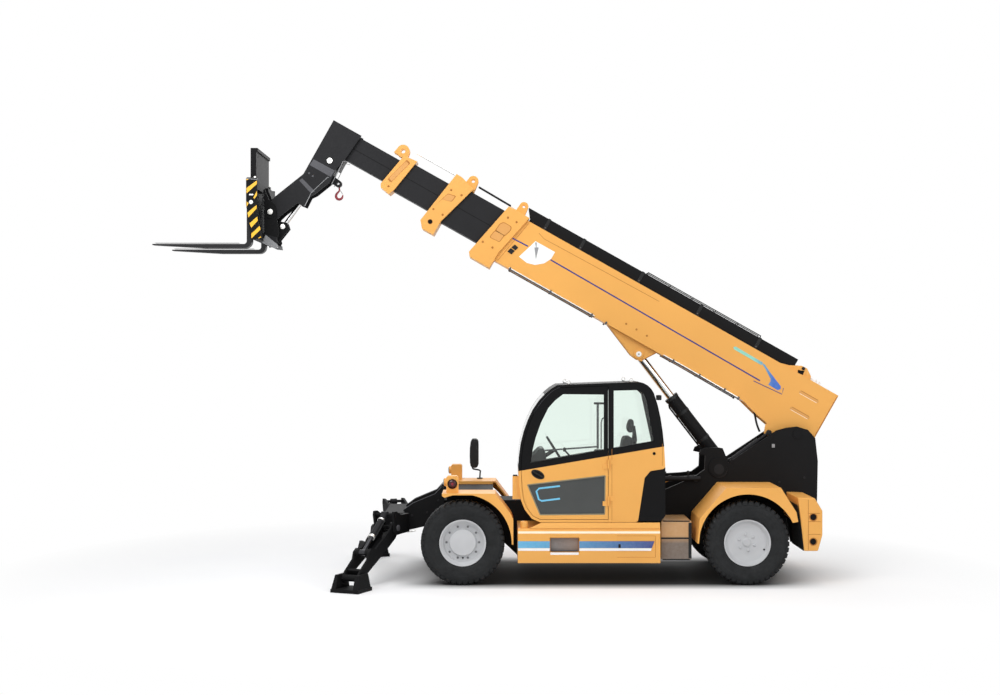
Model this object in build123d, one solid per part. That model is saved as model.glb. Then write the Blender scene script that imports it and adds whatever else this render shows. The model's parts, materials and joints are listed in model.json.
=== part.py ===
from build123d import *
import math
import os

# A rough-terrain telehandler with a four-section boom, a cab on its left side and two front stabilisers.
# Millimetres, +X forward, +Y left, +Z up. Everything is laid out from the rear axle (x = 0) on the ground
# (z = 0). The pieces round the front axle are laid out from it, and the boom from its own pivot.

# --- driving dimensions -----------------------------------------------------------------------------------
WHEELBASE = 3630.0
TRACK_HALF = 1000.0
TYRE_R = 536.0
TYRE_W = 385.0
TYRE_SHOULDER = 45.0
RIM_R = 286.0          # bead seat radius
RIM_W = 300.0
RIM_FLANGE = 12.0      # height of the rim's flange over its bead seat
RIM_WALL = 18.0
KINGPIN_Y = 850.0
KINGPIN_R = 42.0
SPINDLE_R = 60.0
BODY_HALF = 1200.0     # half the width over the side boxes and fenders
FENDER_GAP = 89.0      # radial room between a tyre and its fender's standing leaves
FENDER_T = 20.0
FRAME_Z0 = 760.0
FRAME_Z1 = 1000.0
FRAME_WALL = 20.0
TOWER_T = 50.0         # thickness of each boom tower plate
CAB_CLEAR = 30.0       # from the chassis frame's side to the cab
CAB_Y1 = 1150.0
CAB_WALL = 45.0
DOOR_INSET = 38.0      # from the cab's outline to the door's edge
DOOR_GAP = 6.0
GLASS_T = 6.0

PIVOT_X = -791.0       # boom pivot
PIVOT_Z = 1876.0
PIVOT_PIN_R = 60.0
BOOM_ANGLE = 29.4      # degrees above the horizontal as stored
BOOM_HALF = 195.0
BOOM_Z0 = 40.0         # underside and top of the main tube, square to the boom, from the pivot
BOOM_Z1 = 723.0
BOOM_TAIL = -250.0
BOOM_END = 4800.0
SECTION_WALL = 12.0
BOOM_WALL = 15.0

LIFT_LOW = (-128.0, 1087.0)     # lift cylinder's lower pin, x and z
LIFT_EYE = (2340.0, -100.0)    # its rod's eye, along and square to the boom
LIFT_BARREL_R = 90.0
LIFT_ROD_R = 57.0
LIFT_BARREL_L = 1609.0
LOW_PIN_R = 45.0
SMALL_PIN_R = 22.0
PIN_HEAD = 8.0                 # that a tower pin stands out of its plate
STRUT_LOW = (86.0, 1519.0)     # compensation cylinder's lower pin, x and z
STRUT_EYE = (326.0, -162.0)    # its rod's eye, along and square to the boom
STRUT_SPACE = 85.0             # between the boom's side and the chassis frame's, where the strut stands
CARRIAGE_PIVOT = (6217.0, 4835.0)
TILT_PIN = (6071.0, 4649.0)
TILT_TOP = (5433.0, 5523.0)
FORK_TIP_X = 7686.0
FORK_Y = 620.0
FORK_Z = 4378.0         # top of a fork
CARRIAGE_HALF = 815.0
REST_HALF = 570.0

LEG_PIVOT = (985.0, 790.0, 695.0)    # from the front axle, for the left leg
LEG_PLAN = 66.0                      # degrees from +X to the leg, seen from above
LEG_REACH = 950.0
LEG_DROP = 530.0
LEG_TOP_PIN = (70.0, 175.0)      # its cylinder's upper pin
LEG_EYE = (650.0, -250.0)            # leg cylinder's eye on the leg, out and up

PIN_GAP = 0.06        # radial clearance of a running pin in its bore
SEAT_GAP = 0.3        # between curved faces that only lie on each other
MOVE_GAP = 6.0        # between pieces that move past each other
CLEAR = 4.0           # between fixed pieces that stand beside each other

# --- derived places ---------------------------------------------------------------------------------------
FRAME_HALF = BOOM_HALF + STRUT_SPACE     # half the width of the chassis frame
STRUT_Y = BOOM_HALF + STRUT_SPACE / 2
CAB_Y0 = FRAME_HALF + CAB_CLEAR
AXLE_Z = TYRE_R
FRONT = WHEELBASE
TOWER_Y0 = FRAME_HALF
TOWER_Y1 = FRAME_HALF + TOWER_T
PARTS = {}


def along_boom(a, b):
    """World x and z of a point a along and b square to the boom, as stored."""
    t = math.radians(BOOM_ANGLE)
    return (PIVOT_X + a * math.cos(t) - b * math.sin(t), PIVOT_Z + a * math.sin(t) + b * math.cos(t))


ORIGIN_X = (FORK_TIP_X + along_boom(BOOM_TAIL, BOOM_Z1)[0]) / 2


# --- helpers ----------------------------------------------------------------------------------------------
def outline(points, radius=0.0):
    """A flat face from corner points, with its corners rounded if a radius is given."""
    if radius:
        return make_face(FilletPolyline(*points, radius=radius, close=True))
    return make_face(Polyline(*points, close=True))


def slab(shape, y0, y1, radius=0.0):
    """Extrudes an x-z outline across from y0 to y1."""
    face = outline(shape, radius) if isinstance(shape, list) else shape
    plane = Plane(origin=(0, y1, 0), x_dir=(1, 0, 0), z_dir=(0, -1, 0))
    return extrude(plane * face, amount=y1 - y0)


def rail(shape, x0, x1):
    """Extrudes a y-z outline forwards from x0 to x1."""
    plane = Plane(origin=(x0, 0, 0), x_dir=(0, 1, 0), z_dir=(1, 0, 0))
    return extrude(plane * outline(shape), amount=x1 - x0)


def block(x0, x1, y0, y1, z0, z1):
    return Pos((x0 + x1) / 2, (y0 + y1) / 2, (z0 + z1) / 2) * Box(x1 - x0, y1 - y0, z1 - z0)


def drum(x, z, radius, y0, y1):
    """A cylinder across the machine."""
    return Pos(x, (y0 + y1) / 2, z) * Rot(90, 0, 0) * Cylinder(radius, y1 - y0)


def post(x, y, radius, z0, z1):
    """An upright cylinder."""
    return Pos(x, y, (z0 + z1) / 2) * Cylinder(radius, z1 - z0)


def bar(start, end, radius):
    """A round bar between two points."""
    start, end = Vector(*start), Vector(*end)
    plane = Plane(origin=start, z_dir=end - start)
    return plane * Cylinder(radius, (end - start).length, align=(Align.CENTER, Align.CENTER, Align.MIN))


def plates(shape, y0, y1, radius=0.0):
    """The same x-z plate on both sides of the centre line."""
    return slab(shape, y0, y1, radius) + slab(shape, -y1, -y0, radius)


def both(shape):
    """A left piece and its mirror image on the right."""
    return shape + mirror(shape, about=Plane.XZ)


def on_boom(shape):
    """Moves a piece modelled along the boom, from its pivot, to its place as stored."""
    return Pos(PIVOT_X, 0, PIVOT_Z) * Rot(0, -BOOM_ANGLE, 0) * shape


def keep(name, shape):
    PARTS[name] = shape


def forward(points):
    """Shifts x-z points given from the front axle."""
    return [(x + FRONT, z) for x, z in points]


# --- wheels and axles -------------------------------------------------------------------------------------
def turned(profile):
    """Turns a closed outline of (y, radius) points about the y axis."""
    plane = Plane(origin=(0, 0, 0), x_dir=(0, 1, 0), z_dir=(1, 0, 0))
    return revolve(plane * outline(profile), axis=Axis.Y)


def tyre():
    half = TYRE_W / 2
    bead = RIM_R + SEAT_GAP
    side = TYRE_SHOULDER
    profile = [
        (-RIM_W / 2 + 20, bead),
        (RIM_W / 2 - 20, bead),
        (RIM_W / 2 - 20, bead + RIM_FLANGE + 4),
        (half - 6, RIM_R + 70),
        (half, TYRE_R - 110),
        (half, TYRE_R - side),
        (half - side * 0.3, TYRE_R - side * 0.3),
        (half - side, TYRE_R),
        (-half + side, TYRE_R),
        (-half + side * 0.3, TYRE_R - side * 0.3),
        (-half, TYRE_R - side),
        (-half, TYRE_R - 110),
        (-half + 6, RIM_R + 70),
        (-RIM_W / 2 + 20, bead + RIM_FLANGE + 4),
    ]
    return turned(profile)


def rim(hub_out):
    """A rim whose disc is dished outwards and carries a hub that stands hub_out past the wheel's middle."""
    half = RIM_W / 2
    inner = RIM_R - RIM_WALL
    profile = [
        (-half, inner),
        (-half, RIM_R + RIM_FLANGE),
        (-half + 16, RIM_R + RIM_FLANGE),
        (-half + 16, RIM_R),
        (half - 16, RIM_R),
        (half - 16, RIM_R + RIM_FLANGE),
        (half, RIM_R + RIM_FLANGE),
        (half, inner + 6),
        (half - 60, inner),
        (half - 95, inner - 14),
        (half - 95, 175),
        (hub_out, 160),
        (hub_out, SPINDLE_R + PIN_GAP),
        (10, SPINDLE_R + PIN_GAP),
        (10, 150),
        (half - 125, 175),
        (half - 125, inner),
    ]
    return turned(profile)


HUB_REACH = 70.0       # spindle's end past the wheel's middle
YOKE_H = 120.0         # half the height between a yoke's inner faces
YOKE_T = 32.0
YOKE_HALF = 66.0


def knuckle():
    """The left steering knuckle, about a kingpin at y = KINGPIN_Y over x = 0."""
    height = YOKE_H - 2
    body = post(0, KINGPIN_Y, KINGPIN_R + 22, AXLE_Z - height, AXLE_Z + height)
    body += post(0, KINGPIN_Y, KINGPIN_R, AXLE_Z - YOKE_H - YOKE_T, AXLE_Z + YOKE_H + YOKE_T)
    body += drum(0, AXLE_Z, SPINDLE_R + 45, KINGPIN_Y, TRACK_HALF - 16)
    body += drum(0, AXLE_Z, SPINDLE_R, KINGPIN_Y, TRACK_HALF + HUB_REACH)
    arm = block(-215, -40, KINGPIN_Y - 10, KINGPIN_Y + 40, AXLE_Z - 90, AXLE_Z - 60)
    body += arm
    return body


def axle():
    """A steered axle on x = 0: beam, differential, top pads and a yoke at each end."""
    beam = block(-75, 75, -KINGPIN_Y + 100, KINGPIN_Y - 100, AXLE_Z - 75, AXLE_Z + 75)
    case = Pos(0, 0, AXLE_Z) * Sphere(185)
    shape = beam + case
    shape += both(block(-90, 90, 150, 270, AXLE_Z + 60, FRAME_Z0))
    low, high = AXLE_Z - YOKE_H - YOKE_T, AXLE_Z + YOKE_H + YOKE_T
    ears = block(-YOKE_HALF, YOKE_HALF, KINGPIN_Y - 130, KINGPIN_Y, low, high)
    ears += post(0, KINGPIN_Y, YOKE_HALF, low, high)
    room = block(-200, 200, KINGPIN_Y - 95, KINGPIN_Y + 200, AXLE_Z - YOKE_H, AXLE_Z + YOKE_H)
    bore = post(0, KINGPIN_Y, KINGPIN_R + PIN_GAP, 0, 2 * AXLE_Z)
    shape += both(ears - room)
    return shape - both(bore) - both(room)


WHEELS = [  # name, x of the axle, side, how far the hub stands out
    ("front_left", FRONT, 1, 95.0),
    ("front_right", FRONT, -1, 95.0),
    ("rear_left", 0.0, 1, 80.0),
    ("rear_right", 0.0, -1, 80.0),
]


def wheels():
    spindle = knuckle()
    rubber = tyre()
    for name, x, side, hub_out in WHEELS:
        turn = Rot(0, 0, 0 if side > 0 else 180)
        hub = Pos(x, side * TRACK_HALF, AXLE_Z) * turn
        keep("tyre_" + name, hub * rubber)
        keep("rim_" + name, hub * rim(hub_out))
        placed = spindle if side > 0 else mirror(spindle, about=Plane.XZ)
        keep("knuckle_" + name, Pos(x, 0, 0) * placed)
    beam = axle()
    keep("axles", beam + Pos(FRONT, 0, 0) * beam)


# --- chassis ----------------------------------------------------------------------------------------------
FRAME_REAR = -940.0
FRAME_NOSE = 420.0      # past the front axle
DECK_Z = 1100.0
DECK_T = 30.0
OUTRIGGER_Z = 740.0
BELLY_X0 = 760.0       # from each axle to the belly box
BELLY_Z0 = 440.0
CAB_FLOOR = 802.0
LOCKER_Z = 815.0       # the underside of the locker in the notch behind the cab


FRONT_WEB = [(-420, 1000), (-534, 433), (-722, 253), (-900, 253), (-900, 1000)]
DECK_HALF = 640.0
OUTRIGGERS = [-2140, -1150]     # x of each bearer under the cab and the hood, from the front axle


def chassis():
    front = FRONT + FRAME_NOSE
    wall = FRAME_WALL
    inner = FRAME_HALF - wall
    shape = block(FRAME_REAR, front, -FRAME_HALF, FRAME_HALF, FRAME_Z0, FRAME_Z1)
    shape -= block(FRAME_REAR + wall, front - wall, -inner, inner, FRAME_Z0 + wall, FRAME_Z1 - wall)
    belly = block(BELLY_X0, FRONT - BELLY_X0, -FRAME_HALF, FRAME_HALF, BELLY_Z0, FRAME_Z0)
    room = block(BELLY_X0 + wall, FRONT - BELLY_X0 - wall, -inner, inner, BELLY_Z0 + wall, FRAME_Z0)
    shape += belly - room
    shape += plates(forward(FRONT_WEB), inner, FRAME_HALF)
    shape += block(FRONT - 380, FRONT + 230, -FRAME_HALF, FRAME_HALF, FRAME_Z1, DECK_Z)
    shape += block(FRONT - 380, FRONT + 250, -DECK_HALF, DECK_HALF, DECK_Z, DECK_Z + DECK_T)
    for x in OUTRIGGERS:
        shape += both(block(FRONT + x, FRONT + x + 120, FRAME_HALF, CAB_Y1 - 40, OUTRIGGER_Z, CAB_FLOOR))
    shape += block(FRONT - 2490, FRONT - 2370, FRAME_HALF, CAB_Y1 - 40, OUTRIGGER_Z, LOCKER_Z)
    keep("chassis_frame", shape)



TOWER = [  # x, z: the boom tower's plate, from its low rear corner round the top
    (-1030, 450),
    (-1052, 1047),
    (-1061, 1520),
    (-1027, 1825),
    (-930, 1935),
    (-790, 1977),
    (-640, 1960),
    (-520, 1926),
    (123, 1500),
    (200, 1690),
    (265, 1701),
    (438, 1694),
    (493, 1670),
    (515, 1614),
    (432, 1595),
    (440, 1412),
    (538, 1337),
    (690, 1321),
    (955, 1305),
    (1000, 1290),
    (1000, 1250),
    (702, 1258),
    (1000, 1128),
    (1000, 700),
    (700, 700),
    (560, 800),
    (-640, 800),
    (-700, 450),
]


def tower():
    shape = plates(TOWER, TOWER_Y0, TOWER_Y1)
    shape += plates(outline_disc(*DISC), TOWER_Y1, TOWER_Y1 + 18)
    shape += block(-1050, -1020, -TOWER_Y0, TOWER_Y0, 1010, 1440)
    shape += block(640, 960, -TOWER_Y0, TOWER_Y0, FRAME_Z1, FRAME_Z1 + 40)
    shape += drum(PIVOT_X, PIVOT_Z, PIVOT_PIN_R, -TOWER_Y1 - 12, TOWER_Y1 + 12)
    shape += drum(*LIFT_LOW, LOW_PIN_R, -TOWER_Y1 - PIN_HEAD, TOWER_Y1 + PIN_HEAD)
    shape += drum(*STRUT_LOW, SMALL_PIN_R, STRUT_Y - 40, TOWER_Y1 + PIN_HEAD)
    keep("boom_tower", shape)


DISC = (265.0, 1436.0, 122.0)   # round boss beside the lift cylinder: x, z, radius


def outline_disc(x, z, radius):
    return Pos(x, z) * Circle(radius)


COUNTERWEIGHT = [(-640, 1116), (-858, 1108), (-956, 946), (-956, 637), (-899, 434), (-720, 434), (-690, 700)]


def counterweight():
    keep("counterweight", both(slab(COUNTERWEIGHT, TOWER_Y1, CAB_Y1)))


BOX_Z0 = 288.0
BOX_Z1 = 725.0


# y, z: the strip between a side box and the cab
SILL = [(1115, BOX_Z1), (1185, BOX_Z1), (1152, 797), (1115, 797)]
SILL_END = -851.0      # its low front end, from the front axle


def side_boxes():
    x0, x1 = 1116.0, FRONT - 702
    body = block(x0, x1, FRAME_HALF, BODY_HALF, BOX_Z0, BOX_Z1)
    body = chamfer(body.edges().filter_by(Axis.X).group_by(Axis.Z)[-1].sort_by(Axis.Y)[-1], 30)
    body -= block(x1 - 776, x1 - 412, BODY_HALF - 70, BODY_HALF + 1, 431, 609)
    body -= block(x0 + 60, x0 + 549, BODY_HALF - 6, BODY_HALF + 1, 360, 636)
    sill = rail(SILL, x0, FRONT + SILL_END)
    nose = slab(forward([(SILL_END, BOX_Z1), (SILL_END - 160, 800), (SILL_END + 1, 800)]), 1000, BODY_HALF)
    body += sill - nose
    keep("side_boxes", both(body))
    tank = block(700, x0 - 22, TOWER_Y1 + 2, 1050, 307, 811)
    tank = fillet(tank.edges().filter_by(Axis.Y), 25)
    tank += block(x0 - 22, x0, 500, 560, 400, 600) + block(x0 - 22, x0, 900, 960, 400, 600)
    keep("tanks", both(tank))


def leaves(points, thickness, y0, y1):
    """A folded sheet: each run of points is one leaf, thickened towards the inside of the run."""
    shape = None
    for (xa, za), (xb, zb) in zip(points, points[1:]):
        run = math.hypot(xb - xa, zb - za)
        nx, nz = -(zb - za) / run * thickness, (xb - xa) / run * thickness
        leaf = slab([(xa, za), (xb, zb), (xb + nx, zb + nz), (xa + nx, za + nz)], y0, y1)
        shape = leaf if shape is None else shape + leaf
    return shape


def flange(points, axle_x):
    """A fender's outer side, from its outline in to the arc round the tyre."""
    arch = drum(axle_x, AXLE_Z, TYRE_R + FENDER_GAP, BODY_HALF - FENDER_T - 1, BODY_HALF + 1)
    return slab(points, BODY_HALF - FENDER_T, BODY_HALF) - arch


def fenders():
    leg = TYRE_R + FENDER_GAP + FENDER_T
    top = TYRE_R * 2 + 98
    front = forward([(262, top), (-416, top), (-613, top - 262), (-leg, top - 330), (-leg, 524)])
    sheet = leaves(front, FENDER_T, 660, BODY_HALF)
    low, high = min(DECK_Z, top - FENDER_T), max(DECK_Z + DECK_T, top)
    sheet += block(FRONT - 380, FRONT + 262, DECK_HALF, 700, low, high)
    sheet += flange(front + forward([(262, top - 30)]), FRONT)
    keep("front_fenders", both(sheet))
    crown = TYRE_R * 2 + 171
    rear = [(leg, 538), (leg - 30, crown - 389), (278, crown)]
    rear += [(-419, crown), (-613, crown - 308), (-637, crown - 430)]
    sheet = leaves(rear, FENDER_T, TOWER_Y1, BODY_HALF)
    sheet -= drum(*LIFT_LOW, LOW_PIN_R + MOVE_GAP, TOWER_Y1 - 1, TOWER_Y1 + PIN_HEAD + 1)
    keep("rear_fenders", both(sheet + flange(rear, 0)))


# --- cab --------------------------------------------------------------------------------------------------
CAB = [  # x from the front axle, z, from the low rear corner forwards and over the roof
    (-2232, CAB_FLOOR),
    (-985, CAB_FLOOR),
    (-878, 850),
    (-790, 965),
    (-744, 1079),
    (-722, 1240),
    (-711, 1453),
    (-714, 1620),
    (-738, 1800),
    (-778, 1960),
    (-828, 2098),
    (-890, 2230),
    (-970, 2350),
    (-1061, 2449),
    (-1130, 2505),
    (-1208, 2551),
    (-2232, 2588),
    (-2300, 2577),
    (-2360, 2545),
    (-2405, 2500),
    (-2436, 2449),
    (-2487, 2290),
    (-2523, 2127),
    (-2550, 1950),
    (-2567, 1776),
    (-2583, 1484),
    (-2392, 1455),
    (-2319, 1367),
]
CAB_ROUND = 40.0
BELT = ((-700.0, 1451.0), (-2600.0, 1773.0))      # line between the painted panels and the dark frame
DOOR_REAR = -1859.0                               # door's seam at the hinge
FRONT_PANE = (1530.0, 2430.0)
REAR_PANE = (1830.0, 2400.0)
SIDE_PANE = [(-1925, 2478), (-2215, 2485), (-2300, 2446), (-2340, 2366), (-2433, 1838), (-1925, 1746)]
RIGHT_PANE = [
    (-1270, 2465),
    (-1100, 2290),
    (-1000, 2100),
    (-925, 1880),
    (-880, 1700),
    (-850, 1510),
    (-2480, 1785),
    (-2345, 2410),
    (-2290, 2465),
]
DOOR_PANE = [
    (-1281, 2433),
    (-1180, 2355),
    (-1093, 2259),
    (-999, 2071),
    (-932, 1883),
    (-892, 1722),
    (-868, 1560),
    (-1800, 1727),
    (-1800, 2428),
]
DOOR_LOW_PANE = [(-827, 1278), (-1815, 1395), (-1808, 905), (-988, 897)]
PILLAR_W = 55.0
LOCKER = [(-2583, 1500), (-2583, 880), (-2520, LOCKER_Z), (-2200, LOCKER_Z), (-2200, 1500)]
SEAM = 3.0            # between the locker and the cab
HINGE_Y = CAB_Y1 + 16
HINGE_R = 14.0
HINGE_Z = (1010.0, 1480.0)
HINGE_H = 60.0


def cab_face(inset=0.0):
    face = outline(forward(CAB), CAB_ROUND)
    return offset(face, amount=-inset, kind=Kind.INTERSECTION) if inset else face


def below_belt():
    (xa, za), (xb, zb) = BELT
    loop = [(xa + 200, za - 34), (xb - 200, zb + 34), (xb - 200, 0), (xa + 200, 0)]
    return slab(forward(loop), 0, 2 * CAB_Y1)


def pane_between(shape, z0, z1, x0, x1):
    """The part of a shape that lies between the cab's corner pillars and within a height and a length."""
    return shape & block(x0, x1, CAB_Y0 + PILLAR_W, CAB_Y1 - PILLAR_W, z0, z1)


def cab():
    y_in, y_out = CAB_Y0 + CAB_WALL, CAB_Y1 - CAB_WALL
    full = slab(cab_face(), CAB_Y0, CAB_Y1)
    shell = full - slab(cab_face(CAB_WALL), y_in, y_out)
    skin = full - slab(cab_face(GLASS_T + 4), CAB_Y0 - 1, CAB_Y1 + 1)
    seam = FRONT + DOOR_REAR
    ahead = block(seam, FRONT, CAB_Y0, CAB_Y1 + 1, 0, 3000)
    opening = slab(cab_face(DOOR_INSET - DOOR_GAP), y_out, CAB_Y1) & ahead
    door_full = slab(cab_face(DOOR_INSET), y_out, CAB_Y1)
    door_full = door_full & block(seam + DOOR_GAP, FRONT, CAB_Y0, CAB_Y1 + 1, 0, 3000)
    shell -= opening

    front_cut = (FRONT - 1400, FRONT)
    rear_cut = (FRONT - 2700, FRONT - 2250)
    for (z0, z1), (x0, x1) in ((FRONT_PANE, front_cut), (REAR_PANE, rear_cut)):
        shell -= block(x0, x1, CAB_Y0 + PILLAR_W, CAB_Y1 - PILLAR_W, z0, z1)
    shell -= slab(forward(SIDE_PANE), y_out, CAB_Y1)
    shell -= slab(forward(RIGHT_PANE), CAB_Y0, y_in)
    low = below_belt()
    corner = block(FRONT - 740, FRONT - 636, 1000, 1100, 1091, 1384)
    corner -= slab(cab_face(CAB_WALL / 2), CAB_Y0, CAB_Y1)
    keep("cab_body", (shell & low) + cab_hinges(cab_side=True) + corner)
    keep("cab_frame", shell - low)
    room = slab(offset(cab_face(), amount=SEAM), CAB_Y0 - 1, CAB_Y1 + 1)
    keep("cab_locker", slab(forward(LOCKER), CAB_Y0, CAB_Y1) - room)

    pane_y = CAB_Y1 - CAB_WALL / 2
    glass = pane_between(skin, *FRONT_PANE, *front_cut) + pane_between(skin, *REAR_PANE, *rear_cut)
    glass += slab(forward(SIDE_PANE), pane_y, pane_y + GLASS_T)
    glass += slab(forward(RIGHT_PANE), CAB_Y0 + 20, CAB_Y0 + 20 + GLASS_T)
    keep("cab_glass", glass)

    cuts = slab(forward(DOOR_PANE), y_out, CAB_Y1) + slab(forward(DOOR_LOW_PANE), y_out, CAB_Y1)
    door = door_full - cuts
    keep("door_panel", (door & low) + cab_hinges(cab_side=False))
    keep("door_frame", door - low)
    glass = slab(forward(DOOR_PANE), pane_y, pane_y + GLASS_T)
    keep("door_glass", glass + slab(forward(DOOR_LOW_PANE), pane_y, pane_y + GLASS_T))


def cab_hinges(cab_side):
    """The knuckles and straps of the door's two hinges, on the cab or on the door."""
    x = FRONT + DOOR_REAR
    shape = None
    for z in HINGE_Z:
        z0 = z + HINGE_H + 2 if cab_side else z
        z1 = z0 + HINGE_H
        ends = (x - 75, x) if cab_side else (x, x + 75)
        piece = post(x, HINGE_Y, HINGE_R, z0, z1)
        piece += block(*ends, CAB_Y1, CAB_Y1 + 8, z0, z1)
        shape = piece if shape is None else shape + piece
    return shape


SEAT_X = -2070.0     # back of the seat cushion, from the front axle
SEAT_Y = 730.0


def cab_inside():
    floor = CAB_FLOOR + CAB_WALL
    x = FRONT + SEAT_X
    base = block(x + 60, x + 420, SEAT_Y - 160, SEAT_Y + 160, floor, 1180)
    base += block(x, x + 480, SEAT_Y - 230, SEAT_Y + 230, 1180, 1215)
    base += block(x - 60, x + 20, SEAT_Y - 60, SEAT_Y + 60, 1180, 1215)
    rise = [(x - 60, 1200), (x + 12, 1200), (x - 18, 1345)]
    rise += [(x - 133, 1900), (x - 128, 1912), (x - 139, 2011)]
    rise += [(x - 160, 2011), (x - 185, 1830)]
    base += slab(rise, SEAT_Y - 60, SEAT_Y + 60)
    keep("seat_frame", base)
    cushion = [(x + 20, 1215), (x + 480, 1215), (x + 500, 1345), (x + 30, 1325)]
    cushion = slab(cushion, SEAT_Y - 240, SEAT_Y + 240, 30)
    back = [(x - 18, 1345), (x + 100, 1370), (x - 20, 1900), (x - 133, 1900)]
    back = slab(back, SEAT_Y - 235, SEAT_Y + 235, 30)
    head = [(x - 128, 1912), (x - 45, 1912), (x - 75, 2110), (x - 150, 2110)]
    head = slab(head, SEAT_Y - 130, SEAT_Y + 130, 25)
    keep("seat_pads", cushion + back + head)

    console = [(-1080, floor), (-840, floor + 260), (-790, 1500), (-880, 1640)]
    console += [(-1010, 1600), (-1150, 1000), (-1180, floor)]
    shape = slab(forward(console), SEAT_Y - 170, SEAT_Y + 170)
    top, wheel = (FRONT - 970, SEAT_Y, 1560), (FRONT - 1190, SEAT_Y, 1700)
    shape += bar(top, wheel, 26)
    ring_plane = Plane(origin=wheel, z_dir=Vector(*wheel) - Vector(*top))
    ring = ring_plane * Torus(190, 15)
    for turn in (0, 120, 240):
        spoke = ring_plane * Rot(0, 0, turn) * Pos(95, 0, 0) * Box(190, 28, 12)
        ring += spoke
    shape += ring
    wall = CAB_Y0 + CAB_WALL
    shape += block(FRONT - 1500, FRONT - 1440, wall + 15, wall + 45, floor, 1280)
    shape += block(FRONT - 1950, FRONT - 1380, wall + 3, wall + 95, floor, 1050)
    keep("steering_console", shape)


# --- right-hand side and the front ------------------------------------------------------------------------
HOOD = [(-2520, 802), (-740, 802), (-740, 1180), (-860, 1420), (-2400, 1500), (-2520, 1440)]
HOOD_TAIL = [(-2510, 825), (-2560, 835), (-3040, 1010), (-3040, 1150), (-2560, 1290), (-2510, 1300)]
HOOD_T = 30.0


def engine():
    face = outline(forward(HOOD), 40)
    shell = slab(face, -CAB_Y1, -CAB_Y0)
    room = slab(offset(face, amount=-HOOD_T, kind=Kind.INTERSECTION), -CAB_Y1 + HOOD_T, -CAB_Y0 - HOOD_T)
    side = -TOWER_Y1 - CLEAR
    tail = slab(forward(HOOD_TAIL), -CAB_Y1, side)
    inner = offset(outline(forward(HOOD_TAIL)), amount=-HOOD_T, kind=Kind.INTERSECTION)
    tail -= slab(inner, -CAB_Y1 + HOOD_T, side - HOOD_T)
    tail -= block(FRONT - 2519, FRONT - 2500, -CAB_Y1, 0, 0, 2000)
    keep("engine_hood", (shell - room) + tail)
    keep("engine_block", block(FRONT - 2250, FRONT - 1250, -1000, -480, CAB_FLOOR + HOOD_T, 1320))


LAMP_X = 134.0      # from the front axle
LAMP_HALF = 77.0
LAMP_Y = 1000.0
LAMP_H = 212.0
MIRROR_Y = -1130.0


def front_fittings():
    top = TYRE_R * 2 + 98
    x = FRONT + LAMP_X + LAMP_HALF
    box = block(FRONT + LAMP_X - LAMP_HALF, x, LAMP_Y - 90, LAMP_Y + 60, top, top + LAMP_H)
    box = chamfer(box.edges().filter_by(Axis.Y).group_by(Axis.Z)[-1], 20)
    box += Pos(x + 15, LAMP_Y - 15, top + 130) * Rot(0, 90, 0) * Cylinder(52, 30)
    keep("head_lamps", both(box))
    foot = (FRONT - 190, MIRROR_Y + 70, top + 14)
    bend = (FRONT - 201, MIRROR_Y + 20, top + 112)
    knee = (FRONT - 75, MIRROR_Y, top + 135)
    arm = block(FRONT - 230, FRONT - 150, MIRROR_Y + 30, MIRROR_Y + 110, top, top + 14)
    arm += bar(foot, bend, 12) + Pos(*bend) * Sphere(12) + bar(bend, knee, 12) + Pos(*knee) * Sphere(12)
    arm += bar(knee, (knee[0], knee[1], top + 220), 12)
    head = block(FRONT - 173, FRONT - 47, MIRROR_Y - 100, MIRROR_Y + 100, top + 150, top + 562)
    keep("mirror", arm + fillet(head.edges().filter_by(Axis.X), 40))


# --- boom -------------------------------------------------------------------------------------------------
SECTIONS = [  # node, half width, underside, top, rear end, front end, all along the boom as stored
    ("section_2", 165.0, 135.0, 690.0, 600.0, 5650.0),
    ("section_3", 140.0, 190.0, 640.0, 1000.0, 6370.0),
    ("section_4", 115.0, 240.0, 592.0, 1400.0, 7040.0),
]
# node, half width, index of its section or None for the main tube, outline, top lug: its eye and radius
COLLARS = [
    (
        "collar_1",
        235.0,
        None,
        [(4506, 763), (4822, 763), (4990, -24), (4949, -79), (4644, -83), (4641, 153)],
        (4650, 872, 60),
    ),
    (
        "collar_2",
        205.0,
        0,
        [(5345, 735), (5563, 797), (5642, 799), (5763, 27), (5688, -64), (5517, -62), (5515, 143)],
        (5411, 835, 70),
    ),
    (
        "collar_3",
        175.0,
        1,
        [(6186, 690), (6378, 668), (6467, 194), (6441, 146), (6303, 124), (6267, 213)],
        (6427, 724, 86),
    ),
]
TAIL_PLATE = [  # along, square: the boom's side plates round its pivot
    (-250, 60),
    (-150, -60),
    (-70, -135),
    (70, -135),
    (243, -98),
    (586, -30),
    (840, 40),
    (840, 60),
]
LIFT_BRACKET = [(2130, 40), (2190, -30), (2260, -165), (2320, -177), (2420, -165), (2900, 40)]
BRACKET_HALF = 125.0
BRACKET_T = 28.0


def tube(half, z0, z1, x0, x1, wall):
    outer = block(x0, x1, -half, half, z0, z1)
    return outer - block(x0 - 1, x1 + 1, -half + wall, half - wall, z0 + wall, z1 - wall)


LUG_RISE = 8.0       # from a section's top to a collar lug's foot
TRAY_H = 165.0
TRAY_HALF = 110.0
TRAY_WALL = 12.0
PAD_LENGTH = 120.0
PAD_HALF = 80.0
PAD_GAP = 0.5


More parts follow.
